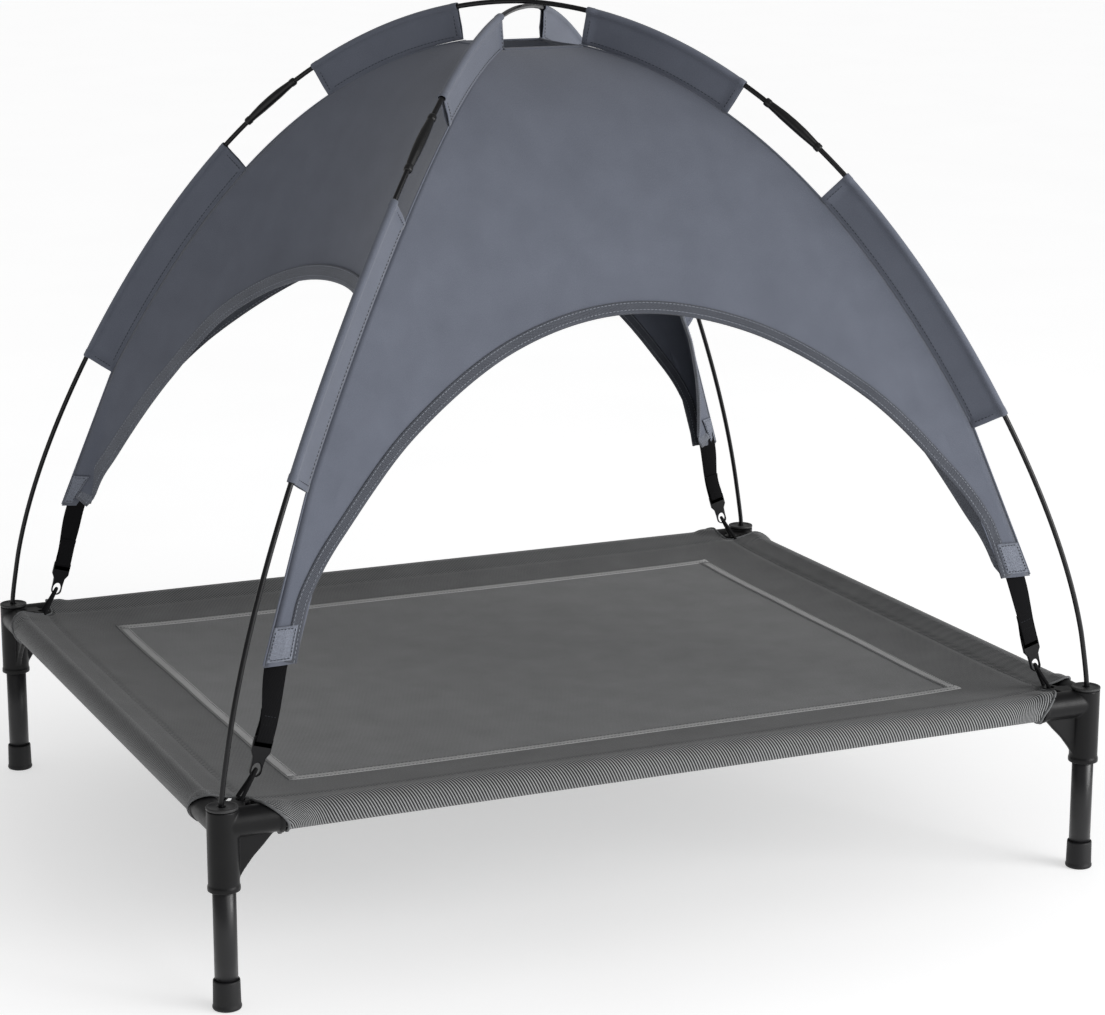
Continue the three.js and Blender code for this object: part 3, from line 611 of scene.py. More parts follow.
def add_frame():
    fitting = corner_mesh()
    foot = lathe_mesh("foot", [
        (0, 0.2), (11.6, 0.2), (12.6, 0.7), (13.1, 1.7), (13.1, 3.2), (12.6, 4.4), (12.5, 6),
        (12.15, FOOT_HEIGHT - 1.6), (12, FOOT_HEIGHT - 0.6), (11.5, FOOT_HEIGHT - 0.1),
        (10.9, FOOT_HEIGHT), (10.75, FOOT_HEIGHT - 1), (10.75, 6), (0, 6)])
    leg = lathe_mesh("leg", [(9.3, LEG_Z[0]), (LEG_RADIUS, LEG_Z[0]), (LEG_RADIUS, 60),
                             (LEG_RADIUS, LEG_Z[1]), (9.3, LEG_Z[1])])
    under = CAP_TOP - CAP_RIM
    rim = SLEEVE_RADIUS + 0.25
    cap = lathe_mesh("cap", [
        (0, 150.4), (10, 150.4), (10.3, 151), (10.3, under), (rim - 0.5, under), (rim, under + 0.4),
        (rim, CAP_TOP - 0.8), (rim - 0.25, CAP_TOP - 0.25), (rim - 0.9, CAP_TOP),
        (SLEEVE_RADIUS - 1.7, CAP_TOP), (SLEEVE_RADIUS - 2.2, CAP_TOP - 0.3),
        (SLEEVE_RADIUS - 2.5, CAP_TOP - 0.8), (5.2, CAP_TOP - 0.8), (4.4, CAP_TOP - 0.6),
        (3.7, CAP_TOP - 0.8), (3.3, CAP_TOP - 1.6), (3.2, 152.3), (0, 152.3)])
    for corner, (sx, sy) in CORNERS.items():
        place = Matrix.Translation((sx * POST_X * MM, sy * POST_Y * MM, 0))
        mirror = place @ Matrix.Diagonal((sx, sy, 1, 1))
        for name, mesh, matrix, material, slot, node in (
                ("fitting", fitting, mirror, "plastic", "fitting", "corner_fitting"),
                ("post_cap", cap, place, "cap", "cap", "pole_socket_cap"),
                ("leg", leg, place, "coat", "tube", "leg_tube"),
                ("rubber_foot", foot, place, "rubber", "foot", "foot")):
            name = f"{name}_{corner}"
            add_object(name, moved(mesh, matrix, name), material, "frame", slot,
                       [f"{node}_{corner}"])
    for name, along, offset, end in (
            ("front", 0, -POST_Y, POST_X), ("back", 0, POST_Y, POST_X),
            ("left", 1, -POST_X, POST_Y), ("right", 1, POST_X, POST_Y)):
        a, b = np.zeros(3), np.zeros(3)
        a[along], b[along] = -(end - RAIL_INSET), end - RAIL_INSET
        a[1 - along] = b[1 - along] = offset
        a[2] = b[2] = ARM_Z
        mesh = swept_mesh(f"rail_tube_{name}", [a, b], UP, circle(RAIL_RADIUS, 48))
        add_object(f"rail_tube_{name}", mesh, "coat", "frame", "tube", [f"rail_{name}"])


# ---- Bed ----

TANGENT = math.radians(18)  # angle from the top of a rail at which the sheet leaves it
SHEET_REACH = 45  # distance over which the sheet comes down from the rails
LEAVE = POCKET_RADIUS * math.sin(TANGENT)
LEAVE_Z = ARM_Z + POCKET_RADIUS * math.cos(TANGENT)
LEAVE_X = POST_X - LEAVE  # plan place of the line where the sheet leaves the side rails
LEAVE_Y = POST_Y - LEAVE
SHEET_DROP = SHEET_REACH * math.tan(TANGENT)
WRAP_END = math.radians(222)
SEAM_IN = 25  # pocket seam, from the rail axis
SEAM_DIP = 1.3


def sheet_height(x, y):
    dx, dy = POST_X - abs(x) - LEAVE, POST_Y - abs(y) - LEAVE
    gx = 1 - math.exp(-max(dx, 0) / SHEET_REACH)
    gy = 1 - math.exp(-max(dy, 0) / SHEET_REACH)
    seam = max(0, 1 - abs(dy - SEAM_IN) / 7) ** 2 + max(0, 1 - abs(dx - SEAM_IN) / 7) ** 2
    lift = COLLAR_LIFT * math.cos(TANGENT) * max(
        (1 - smoothstep(*COLLAR_CLEAR, POST_X - abs(x))) * math.exp(-max(dy, 0) / 14),
        (1 - smoothstep(*COLLAR_CLEAR, POST_Y - abs(y))) * math.exp(-max(dx, 0) / 14))
    slack = 0.5 * math.sin(x / 61 + 1.3 * math.sin(y / 83)) * math.sin(y / 47) * gx * gy
    return LEAVE_Z - SHEET_DROP * gx * gy - SEAM_DIP * min(seam, 1) + slack + lift


def wrap(e, from_post):
    """Out from the rail axis, and height, for a distance e round the pocket from where the sheet
    leaves it. Near a corner the pocket widens to pass over the fitting's collar."""
    near, far = COLLAR_CLEAR
    radius = POCKET_RADIUS + COLLAR_LIFT * (1 - smoothstep(near, far, from_post))
    round_length = POCKET_RADIUS * (WRAP_END + TANGENT)
    if e <= round_length:
        a = e / POCKET_RADIUS - TANGENT
        return radius * math.sin(a), ARM_Z + radius * math.cos(a)
    start = np.array([radius * math.sin(WRAP_END), ARM_Z + radius * math.cos(WRAP_END)])
    end = np.array([-SEAM_IN, WRAP_SEAM_Z])
    k = min((e - round_length) / WRAP_FLAT, 1)
    return tuple(start + (end - start) * k)


WRAP_SEAM_Z = (LEAVE_Z - SHEET_DROP * (1 - math.exp(-(SEAM_IN - LEAVE) / SHEET_REACH))
               - SEAM_DIP - 2.2)
WRAP_FLAT = math.hypot(POCKET_RADIUS * math.sin(WRAP_END) + SEAM_IN,
                       ARM_Z + POCKET_RADIUS * math.cos(WRAP_END) - WRAP_SEAM_Z)
WRAP_LENGTH = POCKET_RADIUS * (WRAP_END + TANGENT) + WRAP_FLAT


def end_trim(e):
    """How much further from the post a pocket ends at a distance e round it."""
    return (POCKET_END - NOTCH) * smoothstep(2, 30, e)


def bed_point(a, b):
    """The sheet's surface at stretched coordinates: past the rails they run round the pockets."""
    at = [a, b]
    for across, along, edge, post, far_post in ((1, 0, LEAVE_Y, POST_Y, POST_X),
                                                (0, 1, LEAVE_X, POST_X, POST_Y)):
        e = abs(at[across]) - edge
        if e > 0:
            n = far_post - NOTCH
            at[along] *= 1 - end_trim(e) / n * smoothstep(n - 60, n, abs(at[along]))
            out, z = wrap(e, far_post - abs(at[along]))
            at[across] = math.copysign(post + out, at[across])
            return np.array([*at, z])
    return np.array([a, b, sheet_height(a, b)])


def notch_curve(k):
    """Rounded inner corner of the cut-out, k from 0 (front to back side) to 1."""
    ends = ((NOTCH_X, NOTCH_Y + NOTCH_ROUND), (NOTCH_X, NOTCH_Y), (NOTCH_X + NOTCH_ROUND, NOTCH_Y))
    p0, p1, p2 = (np.array(p, float) for p in ends)
    return (1 - k) ** 2 * p0 + 2 * k * (1 - k) * p1 + k * k * p2


def spread(marks, step):
    """Numbers from the first mark to the last through every mark, at most a step apart."""
    out = [marks[0]]
    for a, b in zip(marks, marks[1:]):
        n = max(1, math.ceil((b - a) / step))
        out.extend(a + (b - a) * k / n for k in range(1, n + 1))
    return out


def bed_mesh():
    def axis(n, edge):
        marks = [0, n - 70, n, n + NOTCH_ROUND, edge]
        inner = spread(marks[:2], 12)[:-1] + spread(marks[1:], 3.6)
        outer = [edge + WRAP_LENGTH * k / 34 for k in range(1, 35)]
        half = inner + outer
        return [-v for v in half[:0:-1]] + half

    xs, ys = axis(NOTCH_X, LEAVE_X), axis(NOTCH_Y, LEAVE_Y)
    index, verts, uvs, faces = {}, [], [], []

    def vertex(i, j):
        if (i, j) in index:
            return index[(i, j)]
        a, b = xs[i], ys[j]
        u, v = abs(a), abs(b)
        if abs(u - NOTCH_X) < 1e-6 and NOTCH_Y - 1e-6 <= v <= NOTCH_Y + NOTCH_ROUND + 1e-6:
            u, v = notch_curve((NOTCH_ROUND - (v - NOTCH_Y)) / (2 * NOTCH_ROUND))
        elif abs(v - NOTCH_Y) < 1e-6 and NOTCH_X - 1e-6 <= u <= NOTCH_X + NOTCH_ROUND + 1e-6:
            u, v = notch_curve((NOTCH_ROUND + (u - NOTCH_X)) / (2 * NOTCH_ROUND))
        a, b = math.copysign(u, a), math.copysign(v, b)
        index[(i, j)] = len(verts)
        verts.append(bed_point(a, b))
        uvs.append((a, b))
        return index[(i, j)]

    for i in range(len(xs) - 1):
        for j in range(len(ys) - 1):
            u = max(abs(xs[i]), abs(xs[i + 1]))
            v = max(abs(ys[j]), abs(ys[j + 1]))
            if u > NOTCH_X + 1e-6 and v > NOTCH_Y + 1e-6:
                continue
            faces.append((vertex(i, j), vertex(i + 1, j), vertex(i + 1, j + 1), vertex(i, j + 1)))
    return new_mesh("bed_sheet", verts, faces, uvs)


def bed_edge_path(corner):
    """Line of the bound edge: round one pocket's end, along the cut-out, round the other's end."""
    sx, sy = CORNERS[corner]
    wrapped = POCKET_RADIUS * (WRAP_END + TANGENT)
    plan = [(NOTCH_X, LEAVE_Y + wrapped * k / 24) for k in range(24, 0, -1)]
    plan += [(NOTCH_X, LEAVE_Y - (LEAVE_Y - NOTCH_Y - NOTCH_ROUND) * k / 6) for k in range(6)]
    plan += [tuple(notch_curve(k / 12)) for k in range(13)]
    plan += [(NOTCH_X + NOTCH_ROUND + (LEAVE_X - NOTCH_X - NOTCH_ROUND) * k / 6, NOTCH_Y)
             for k in range(1, 7)]
    plan += [(LEAVE_X + wrapped * k / 24, NOTCH_Y) for k in range(1, 25)]
    return [bed_point(sx * a, sy * b) for a, b in plan]


def ribbon_on_sheet(a, b, width, lift, thickness, step=8):
    """A flat tape along the sheet from plan point a to b."""
    a, b = np.array(a, float), np.array(b, float)
    along = unit(b - a)
    across = np.array([-along[1], along[0]])
    count = int(np.linalg.norm(b - a) / step)
    offsets = np.linspace(-width / 2, width / 2, 5)
    verts, uvs = [], []
    for i in range(count + 1):
        p = a + (b - a) * i / count
        for o in offsets:
            q = p + across * o
            edge = 0.25 if abs(o) > width / 2 - 0.01 else 0
            verts.append((q[0], q[1], sheet_height(*q) + lift - edge))
            uvs.append((o, i * step))
    mesh = new_mesh("tape", verts, grid_faces(count + 1, len(offsets)), uvs)
    return thickened(facing_mesh(mesh, UP), "tape", thickness, 1)


def stitches(path, normal, length=3.0, gap=1.4, radius=0.35, lift=0.15):
    """Points and faces of a row of short sewn stitches along a path. The normal is one vector, or
    one for each point of the path."""
    path, normals = np.array(path, float), np.array(normal, float)
    run = lengths(path)
    total = run[-1]
    pitch = length + gap
    count = int(total / pitch)
    sides = 5
    stations = ((0, 0.3, -0.2), (0.2, 1, 0.5), (0.5, 1, 0.8), (0.8, 1, 0.5), (1, 0.3, -0.2))
    verts, faces = [], []
    at = lambda s: np.array([np.interp(s, run, path[:, k]) for k in range(3)])
    for i in range(count):
        s0 = (total - count * pitch) / 2 + i * pitch
        a, b = at(s0), at(s0 + length)
        share = i / max(count - 1, 1)
        n = unit(normals if normals.ndim == 1 else normals[int(share * (len(normals) - 1))])
        side = np.cross(n, unit(b - a))
        base = len(verts)
        for share, width, up in stations:
            p = a + (b - a) * share + n * (lift + up * radius)
            for k in range(sides):
                angle = 2 * math.pi * k / sides
                verts.append(p + (side * math.cos(angle) + n * math.sin(angle)) * radius * width)
        faces += grid_faces(len(stations), sides, closed_columns=True, start=base)
        faces += [tuple(base + k for k in face) for face in end_faces(sides, len(stations))]
    return verts, faces


def bed_stitches(line, height, *sizes):
    """Stitches along a plan line, at a height over the sheet."""
    return stitches([(*p, sheet_height(*p) + height) for p in line], UP, *sizes)


def add_bed():
    sheet = thickened(facing_mesh(bed_mesh(), UP), "bed_sheet", 0.9, -1)
    cloth = add_object("bed_sheet", sheet, "bed", "frame", "bed", ["bed_fabric"])
    together = []
    for corner in CORNERS:
        mesh = swept_mesh(f"bed_edge_{corner}", bed_edge_path(corner), UP * 0.3 + (0.5, 0.4, 0),
                          circle(1.25, 10))
        together.append(add_object(f"bed_edge_{corner}", mesh, "bed_edge", "frame", "bed"))
    half = TAPE_WIDTH / 2
    lines = {
        "front": ((-TAPE_X - half, -TAPE_Y), (TAPE_X + half, -TAPE_Y)),
        "back": ((-TAPE_X - half, TAPE_Y), (TAPE_X + half, TAPE_Y)),
        "left": ((-TAPE_X, -TAPE_Y + half), (-TAPE_X, TAPE_Y - half)),
        "right": ((TAPE_X, -TAPE_Y + half), (TAPE_X, TAPE_Y - half)),
    }
    rows = []
    for name, (a, b) in lines.items():
        mesh = ribbon_on_sheet(a, b, TAPE_WIDTH, 0.15, 0.55)
        together.append(add_object(f"tape_{name}", mesh, "tape", "frame", "tape",
                                   [f"bed_tape_{name}"]))
        a, b = np.array(a), np.array(b)
        across = np.array([-(b - a)[1], (b - a)[0]]) / np.linalg.norm(b - a)
        for side in (-1, 1):
            offset = across * side * (TAPE_WIDTH / 2 - 1.4)
            line = [a + offset + (b - a) * k / 60 for k in range(61)]
            rows.append(bed_stitches(line, 0.7, 2.6, 1.2, 0.28, 0.05))
    together.append(add_object("tape_stitches", joined("tape_stitches", rows), "thread_grey",
                               "frame", "tape"))
    rows = []
    nx, ny = NOTCH_X - 4, NOTCH_Y - 4
    for side in (-1, 1):
        x, y = side * (POST_X - SEAM_IN - LEAVE), side * (POST_Y - SEAM_IN - LEAVE)
        for line in ([(nx * (k / 40 * 2 - 1), y) for k in range(41)],
                     [(x, ny * (k / 40 * 2 - 1)) for k in range(41)]):
            rows.append(bed_stitches(line, 0.1, 2.8, 1.2, 0.3, 0.05))
    together.append(add_object("pocket_stitches", joined("pocket_stitches", rows),
                               "thread_grey", "frame", "bed"))
    return cloth, together


# ---- Poles ----

ROD_STEPS = 200


def rod_profile():
    """Share of the run and height of the bent rod, added up from short straight steps."""
    first, third, fifth = POLE_SLOPE
    run, drop = [0.0], [0.0]
    for i in range(ROD_STEPS):
        t = (i + 0.5) / ROD_STEPS
        slope = first * t + third * t ** 3 + fifth * t ** 5
        run.append(run[-1] + math.cos(slope))
        drop.append(drop[-1] + math.sin(slope))
    step = POLE_HALF_LENGTH / ROD_STEPS
    shares = np.array(run) / run[-1]
    heights = CAP_TOP + (drop[-1] - np.array(drop)) * step
    return shares, heights


ROD_SHARE, ROD_HEIGHT = rod_profile()
ROD_T = np.linspace(0, 1, ROD_STEPS + 1)


def rod_point(t):
    share = np.interp(t, ROD_T, ROD_SHARE)
    height = np.interp(t, ROD_T, ROD_HEIGHT)
    bow = POLE_BOW[0] * math.sin(math.pi * t) + POLE_BOW[1] * math.sin(2 * math.pi * t)
    diagonal = math.hypot(POST_X, POST_Y)
    return np.array([POST_X * share - bow * POST_Y / diagonal,
                     POST_Y * share + bow * POST_X / diagonal, height])


def rod_point_at(corner, t):
    sx, sy = CORNERS[corner]
    fade = max(0, 1 - t / CROSSING_BLEND) ** 2
    point = rod_point(t)
    point[2] += (CROSSING_HALF_GAP if sx * sy < 0 else -CROSSING_HALF_GAP) * fade
    return flip(point, corner)


def rod_points(corner, start, end, count):
    return [rod_point_at(corner, start + (end - start) * i / count) for i in range(count + 1)]


def rod_side(i, p):
    side = np.array([-p[1], p[0], 0.0])
    return side if np.dot(side, side) > 1 else np.array([1.0, 1.0, 0])


def end_section(corner):
    bent = rod_points(corner, FERRULE_AT, POLE_BEND_END, 60)
    sx, sy = CORNERS[corner]
    straight = lambda z: np.array([sx * POST_X, sy * POST_Y, z])
    curve = catmull([bent[-12], bent[-8], bent[-4], bent[-1], straight(CAP_TOP + 8),
                     straight(CAP_TOP - 8), straight(POLE_FOOT)], 60)
    return bent + [p for p in curve if p[2] < bent[-1][2] - 1.5]


def ferrule_section(points):
    share = lengths(points) / lengths(points)[-1]
    marks = (0, 0.015, 0.07, 0.085, 0.16, 0.32, 0.5, 0.68, 0.84, 0.915, 0.93, 0.985, 1)
    radii = (3.7, 4.15, 4.15, 3.65, 4.0, 4.7, 4.9, 4.7, 4.0, 3.65, 4.15, 4.15, 3.7)
    return lambda i: circle(np.interp(share[i], marks, radii), 24)


def add_poles():
    section = circle(POLE_RADIUS, 16)
    for name, first, second in (("over", "back_left", "front_right"),
                                ("under", "front_left", "back_right")):
        points = rod_points(first, 0, FERRULE_AT, 50)[::-1]
        points += rod_points(second, 0, FERRULE_AT, 50)[1:]
        mesh = swept_mesh(f"rod_{name}", points, UP, section)
        add_object(f"rod_middle_{name}", mesh, "rod", "canopy", "pole", [f"pole_{name}_middle"])
    half = FERRULE_LENGTH / 2 / POLE_HALF_LENGTH
    for corner in CORNERS:
        mesh = swept_mesh(f"rod_end_{corner}", end_section(corner), rod_side, section)
        add_object(f"rod_end_{corner}", mesh, "rod", "canopy", "pole", [f"pole_end_{corner}"])
        points = rod_points(corner, FERRULE_AT - half, FERRULE_AT + half, 80)
        mesh = swept_mesh(f"ferrule_{corner}", points, rod_side, ferrule_section(points))
        add_object(f"ferrule_{corner}", mesh, "ferrule", "canopy", "ferrule",
                   [f"pole_ferrule_{corner}"])


# ---- Canopy ----

def inward_at(t):
    """Direction from the rod towards the shaded space, square to the rod."""
    if t < 0.01:
        return -UP
    tangent = unit(rod_point(min(t + 0.01, 1)) - rod_point(max(t - 0.01, 0)))
    return square_to(SHADE_CENTRE - rod_point(t), tangent)


RIDGE_END = rod_point(LOWER_SLEEVE[1]) + inward_at(LOWER_SLEEVE[1]) * SEAM_DROP
PULL = unit(STRAP_TOP - EYE)
BAR = EYE + PULL * EYE_TO_BAR
STRAP_TWIST = {"front_left": 14, "front_right": 0, "back_left": 40, "back_right": 0}


def ridge_point(s):
    if s > RIDGE_SHARE:
        return RIDGE_END + (TIP - RIDGE_END) * (s - RIDGE_SHARE) / (1 - RIDGE_SHARE)
    t = LOWER_SLEEVE[1] * s / RIDGE_SHARE
    return rod_point(t) + inward_at(t) * SEAM_DROP


RIDGE_S = np.linspace(0, 1, 401)
RIDGE_P = np.array([ridge_point(s) for s in RIDGE_S])


def ridge_at(s):
    return np.array([np.interp(s, RIDGE_S, RIDGE_P[:, k]) for k in range(3)])


def ridge_share_at(z):
    return float(np.interp(-z, -RIDGE_P[:, 2], RIDGE_S))


WIDE = {"along": 0, "arch": FRONT_ARCH, "sag": FRONT_SAG, "lean": STRIP_TURN["wide"]}
FOLDED = {"along": 1, "arch": SIDE_ARCH, "sag": SIDE_SAG, "lean": STRIP_TURN["folded"]}
PANELS = {
    "front": {**WIDE, "side": -1},
    "back": {**WIDE, "side": 1},
    "left": {**FOLDED, "side": -1},
    "right": {**FOLDED, "side": 1},
}


def arch_columns(panel, count):
    """(share out, share down the ridge) of the arch edge from its middle to the leg tip."""
    along = panel["along"]
    arch = [(x, z, 0) for x, z in panel["arch"]]
    mirrored = [(-x, z, 0) for x, z, _ in arch[:0:-1]]
    curve = catmull(mirrored + arch, 400)[200:]
    curve = resample(curve, lengths(curve)[-1] / count)
    out = []
    for i, (x, z, _) in enumerate(curve):
        s = 1.0 if i == len(curve) - 1 else ridge_share_at(z)
        out.append((x / ridge_at(s)[along], s))
    return out


def panel_point(panel, out, s):
    """A point of a panel. out runs from -1 to 1 between its ridges, s down the ridges."""
    along = panel["along"]
    across = 1 - along
    ridge = ridge_at(s)
    strip = (1 - abs(out)) * ridge[along]
    flat = max(0, (s - RIDGE_SHARE) / (1 - RIDGE_SHARE))
    turn = min(strip, STRIP_LIMIT) * panel["lean"] * flat * flat
    hollow = panel["sag"] * (1 - out * out) * min(s / 0.58, 1) ** 1.5
    point = np.zeros(3)
    point[along] = out * ridge[along]
    point[across] = panel["side"] * (ridge[across] - hollow + turn)
    point[2] = ridge[2]
    return point


def panel_grid(panel, rows=44, half_columns=46):
    """Grid of a panel from its top edge to its arch, one column per arch point."""
    half = arch_columns(panel, half_columns)
    last_out = half[-1][0]
    tops = [TOP_SHARE * i / half_columns for i in range(len(half))]
    strip_steps = 4
    for k in range(1, strip_steps + 1):
        half.append((last_out + (1 - last_out) * k / strip_steps, 1.0))
        tops.append(TOP_SHARE + (1 - TOP_SHARE) * k / strip_steps)
    columns = [(top, out, s) for top, (out, s) in zip(tops, half)]
    columns = [(-top, -out, s) for top, out, s in columns[:0:-1]] + columns
    return [[panel_point(panel, top + (out - top) * share, PANEL_TOP + (s - PANEL_TOP) * share)
             for top, out, s in columns] for share in np.arange(rows + 1) / rows]


def canopy_mesh():
    parts = []
    for panel in PANELS.values():
        grid = panel_grid(panel)
        rows, columns = len(grid), len(grid[0])
        verts = [p for row in grid for p in row]
        uvs = []
        for row in grid:
            run = lengths(row)
            middle = run[columns // 2]
            for c, p in enumerate(row):
                uvs.append((run[c] - middle, p[2] * 1.15))
        parts.append((verts, grid_faces(rows, columns), uvs))
    return facing_mesh(joined("canopy_sheet", parts), UP, weld=0.02 * MM)


def panel_frame(panel, out, s):
    """Point, outward normal and down-slope direction of a panel."""
    e = 0.004
    p = panel_point(panel, out, s)
    o = panel_point(panel, min(out + e, 1), s) - panel_point(panel, max(out - e, -1), s)
    d = panel_point(panel, out, min(s + e, 1)) - panel_point(panel, out, s - e)
    n = unit(np.cross(o, d))
    away = p - SHADE_CENTRE
    if np.dot(n, away) < 0:
        n = -n
    return p, n, unit(d)


def arch_line(panel, count=90):
    """Arch edge from leg tip to leg tip: (point, outward normal, direction into the cloth)."""
    half = arch_columns(panel, count)
    line = [(-o, s) for o, s in half[:0:-1]] + half
    raw = [panel_frame(panel, o, s) for o, s in line]
    points = [r[0] for r in raw]
    out = []
    for i, (p, n, _) in enumerate(raw):
        t = unit(points[min(i + 1, len(points) - 1)] - points[max(i - 1, 0)])
        d = np.cross(n, t)
        inside = panel_point(panel, line[i][0] * 1.04, line[i][1] - 0.03) - p
        if np.dot(d, inside) < 0:
            d = -d
        out.append((p, n, d))
    return out


BINDING_WIDTH = {"front": 11, "back": 11, "left": 15, "right": 15}


def binding_mesh(name, panel):
    """Folded band round an arch edge, a little proud of the cloth on both faces."""
    width = BINDING_WIDTH[name]
    lift = 1.15
    section = [(-1.2, 0), (-0.9, 0.75), (0.2, lift), (1.6, lift + 0.15), (width * 0.5, lift),
               (width - 1.6, lift + 0.15), (width - 0.3, lift - 0.1), (width, 0.3)]
    section += [(w, -h - 0.8) for w, h in section[::-1]]
    line = arch_line(panel)
    verts, uvs = [], []
    run = lengths([p for p, *_ in line])
    for i, (p, n, d) in enumerate(line):
        for w, h in section:
            verts.append(p + d * w + n * h)
            uvs.append((w + (40 if h < 0 else 0), run[i]))
    count = len(section)
    faces = grid_faces(len(line), count, closed_columns=True) + end_faces(count, len(line))
    return solid_mesh(f"arch_binding_{name}", verts, faces, uvs)


def binding_stitches(name, panel):
    width = BINDING_WIDTH[name]
    line = arch_line(panel)
    rows = []
    for face in (1, -1):
        for w in (2.4, width - 2):
            h = 1.25 if face > 0 else -2.05
            path = [p + d * w + n * h for p, n, d in line]
            rows.append(stitches(path, [n * face for _, n, _ in line], 2.6, 1.3, 0.32, 0.0))
    return rows


def keyhole(pole=3.7, gap=1.0, depth=SEAM_DROP):
    """Open outline of a sleeve: up one ply from the seam, round the pole, down the other ply."""
    neck = math.radians(28)
    ring = [(depth, 0.35), (depth - 5, 0.5), (depth * 0.6, gap * 0.8), (11, gap), (7.5, gap + 0.25)]
    steps = 18
    for k in range(steps + 1):
        a = neck + (2 * math.pi - 2 * neck) * k / steps
        ring.append((pole * math.cos(a), pole * math.sin(a)))
    return ring + [(x, -y) for x, y in ring[4::-1]]


SLEEVE_HEM = 7


def sleeve_frame(corner, t):
    """Point of the rod, and the directions towards the ridge seam and across the sleeve."""
    p = rod_point_at(corner, t)
    tangent = unit(rod_point_at(corner, t + 0.004) - rod_point_at(corner, t - 0.004))
    x = square_to(flip(inward_at(t), corner), tangent)
    return p, x, np.cross(tangent, x)


def sleeve_mesh(corner, name, start, end):
    """Two plies of cloth from the ridge seam round the pole, hemmed at both open ends."""
    length = (end - start) * POLE_HALF_LENGTH
    hem = SLEEVE_HEM
    stations = [0, 0.8, hem, hem + 0.9] + spread([hem + 8, length - hem - 8], 9)
    stations += [length - hem - 0.9, length - hem, length - 0.8, length]
    base = keyhole()
    verts, uvs = [], []
    around = lengths([(x, y, 0) for x, y in base])
    for d in stations:
        p, x, y = sleeve_frame(corner, start + d / POLE_HALF_LENGTH)
        in_hem = d <= hem or d >= length - hem
        near_end = min(d, length - d)
        puff = 0.9 if in_hem and near_end > 0.4 else (0.65 if in_hem else 0.35)
        open_up = 0.9 * math.exp(-near_end / 9)
        sway = 0.25 * math.sin(d / 23 + 1.7 * CORNERS[corner][0])
        for k, (u, v) in enumerate(base):
            side = np.sign(v) if abs(v) > 1e-9 else 0
            body = smoothstep(6, 20, u) * smoothstep(SEAM_DROP, SEAM_DROP - 10, u)
            w = v + side * (puff + open_up * body) + sway * body
            if u < 6:
                u, w = u - (puff - 0.35) * 0.5, v * (1 + (puff - 0.35) / 3.7)
            verts.append(p + x * u + y * w)
            uvs.append((around[k], d))
    mesh = new_mesh(name, verts, grid_faces(len(stations), len(base)), uvs)
    middle = Vector(rod_point_at(corner, (start + end) / 2) * MM)
    settled(mesh, towards=lambda face: face.calc_center_median() - middle)
    return thickened(mesh, name, 0.5)


def sleeve_stitches(corner, start, end):
    """Stitch rows: across both hems and along the seam, on both plies."""
    length = (end - start) * POLE_HALF_LENGTH
    rows = []

    def at(d, u, face):
        p, x, y = sleeve_frame(corner, start + d / POLE_HALF_LENGTH)
        near = min(d, length - d)
        in_hem = near < SLEEVE_HEM + 0.5
        half = 1.75 + 0.9 * math.exp(-near / 9) * smoothstep(6, 20, u) if in_hem else 0.95
        return p + x * u + y * half * face, y * face

    for face in (1, -1):
        for d in (5.4, length - 5.4):
            path = [at(d, u, face)[0] for u in np.linspace(7, SEAM_DROP - 1.5, 8)]
            rows.append(stitches(path, at(d, 20, face)[1], 2.4, 1.2, 0.3, 0.0))
        path, normals = zip(*(at(d, SEAM_DROP - 4, face) for d in np.linspace(9, length - 9, 30)))
        rows.append(stitches(path, normals, 2.6, 1.4, 0.3, 0.0))
    return rows


def leg_section(corner, s, w):
    """Point and outward normal of a canopy leg at w mm from its ridge: below 0 on the panel that
    spans along X, above 0 on the one that spans along Y."""
    sx, sy = CORNERS[corner]
    if w <= 0:
        panel = PANELS["front" if sy < 0 else "back"]
        sign = sx
    else:
        panel = PANELS["left" if sx < 0 else "right"]
        sign = sy
    reach = ridge_at(s)[panel["along"]]
    one_in = panel_point(panel, sign * (1 - 1 / reach), s)
    scale = np.linalg.norm(one_in - panel_point(panel, sign, s))
    out = sign * (1 - abs(w) / reach / scale)
    p, n, _ = panel_frame(panel, out, s)
    return p, n


PATCH = {"inner": 0.83, "outer": 0.03, "low": 4, "high": 36}  # shares of the width, mm up
PATCH_LIFT = {"end": 1.7, "side": -2.0}  # off the outer face, or off the inner face of the fold


def strip_width(panel, s):
    """Width of a leg's strip on one panel, from the ridge to the arch."""
    arch = np.array(catmull([(x, z, 0) for x, z in panel["arch"]], 200))
    edge = np.interp(-ridge_at(s)[2], -arch[:, 1], arch[:, 0])
    return ridge_at(s)[panel["along"]] - edge


def patch_point(corner, kind, share, up, lift):
    """A point over a leg's strip at a share of its width, up from its tip, and the normal."""
    length = (RIDGE_END[2] - TIP[2]) * 1.08
    s = 1 - (1 - RIDGE_SHARE) * up / length
    width = strip_width(WIDE if kind == "end" else FOLDED, s) * share
    p, n = leg_section(corner, s, -width if kind == "end" else width)
    return p + n * lift, n


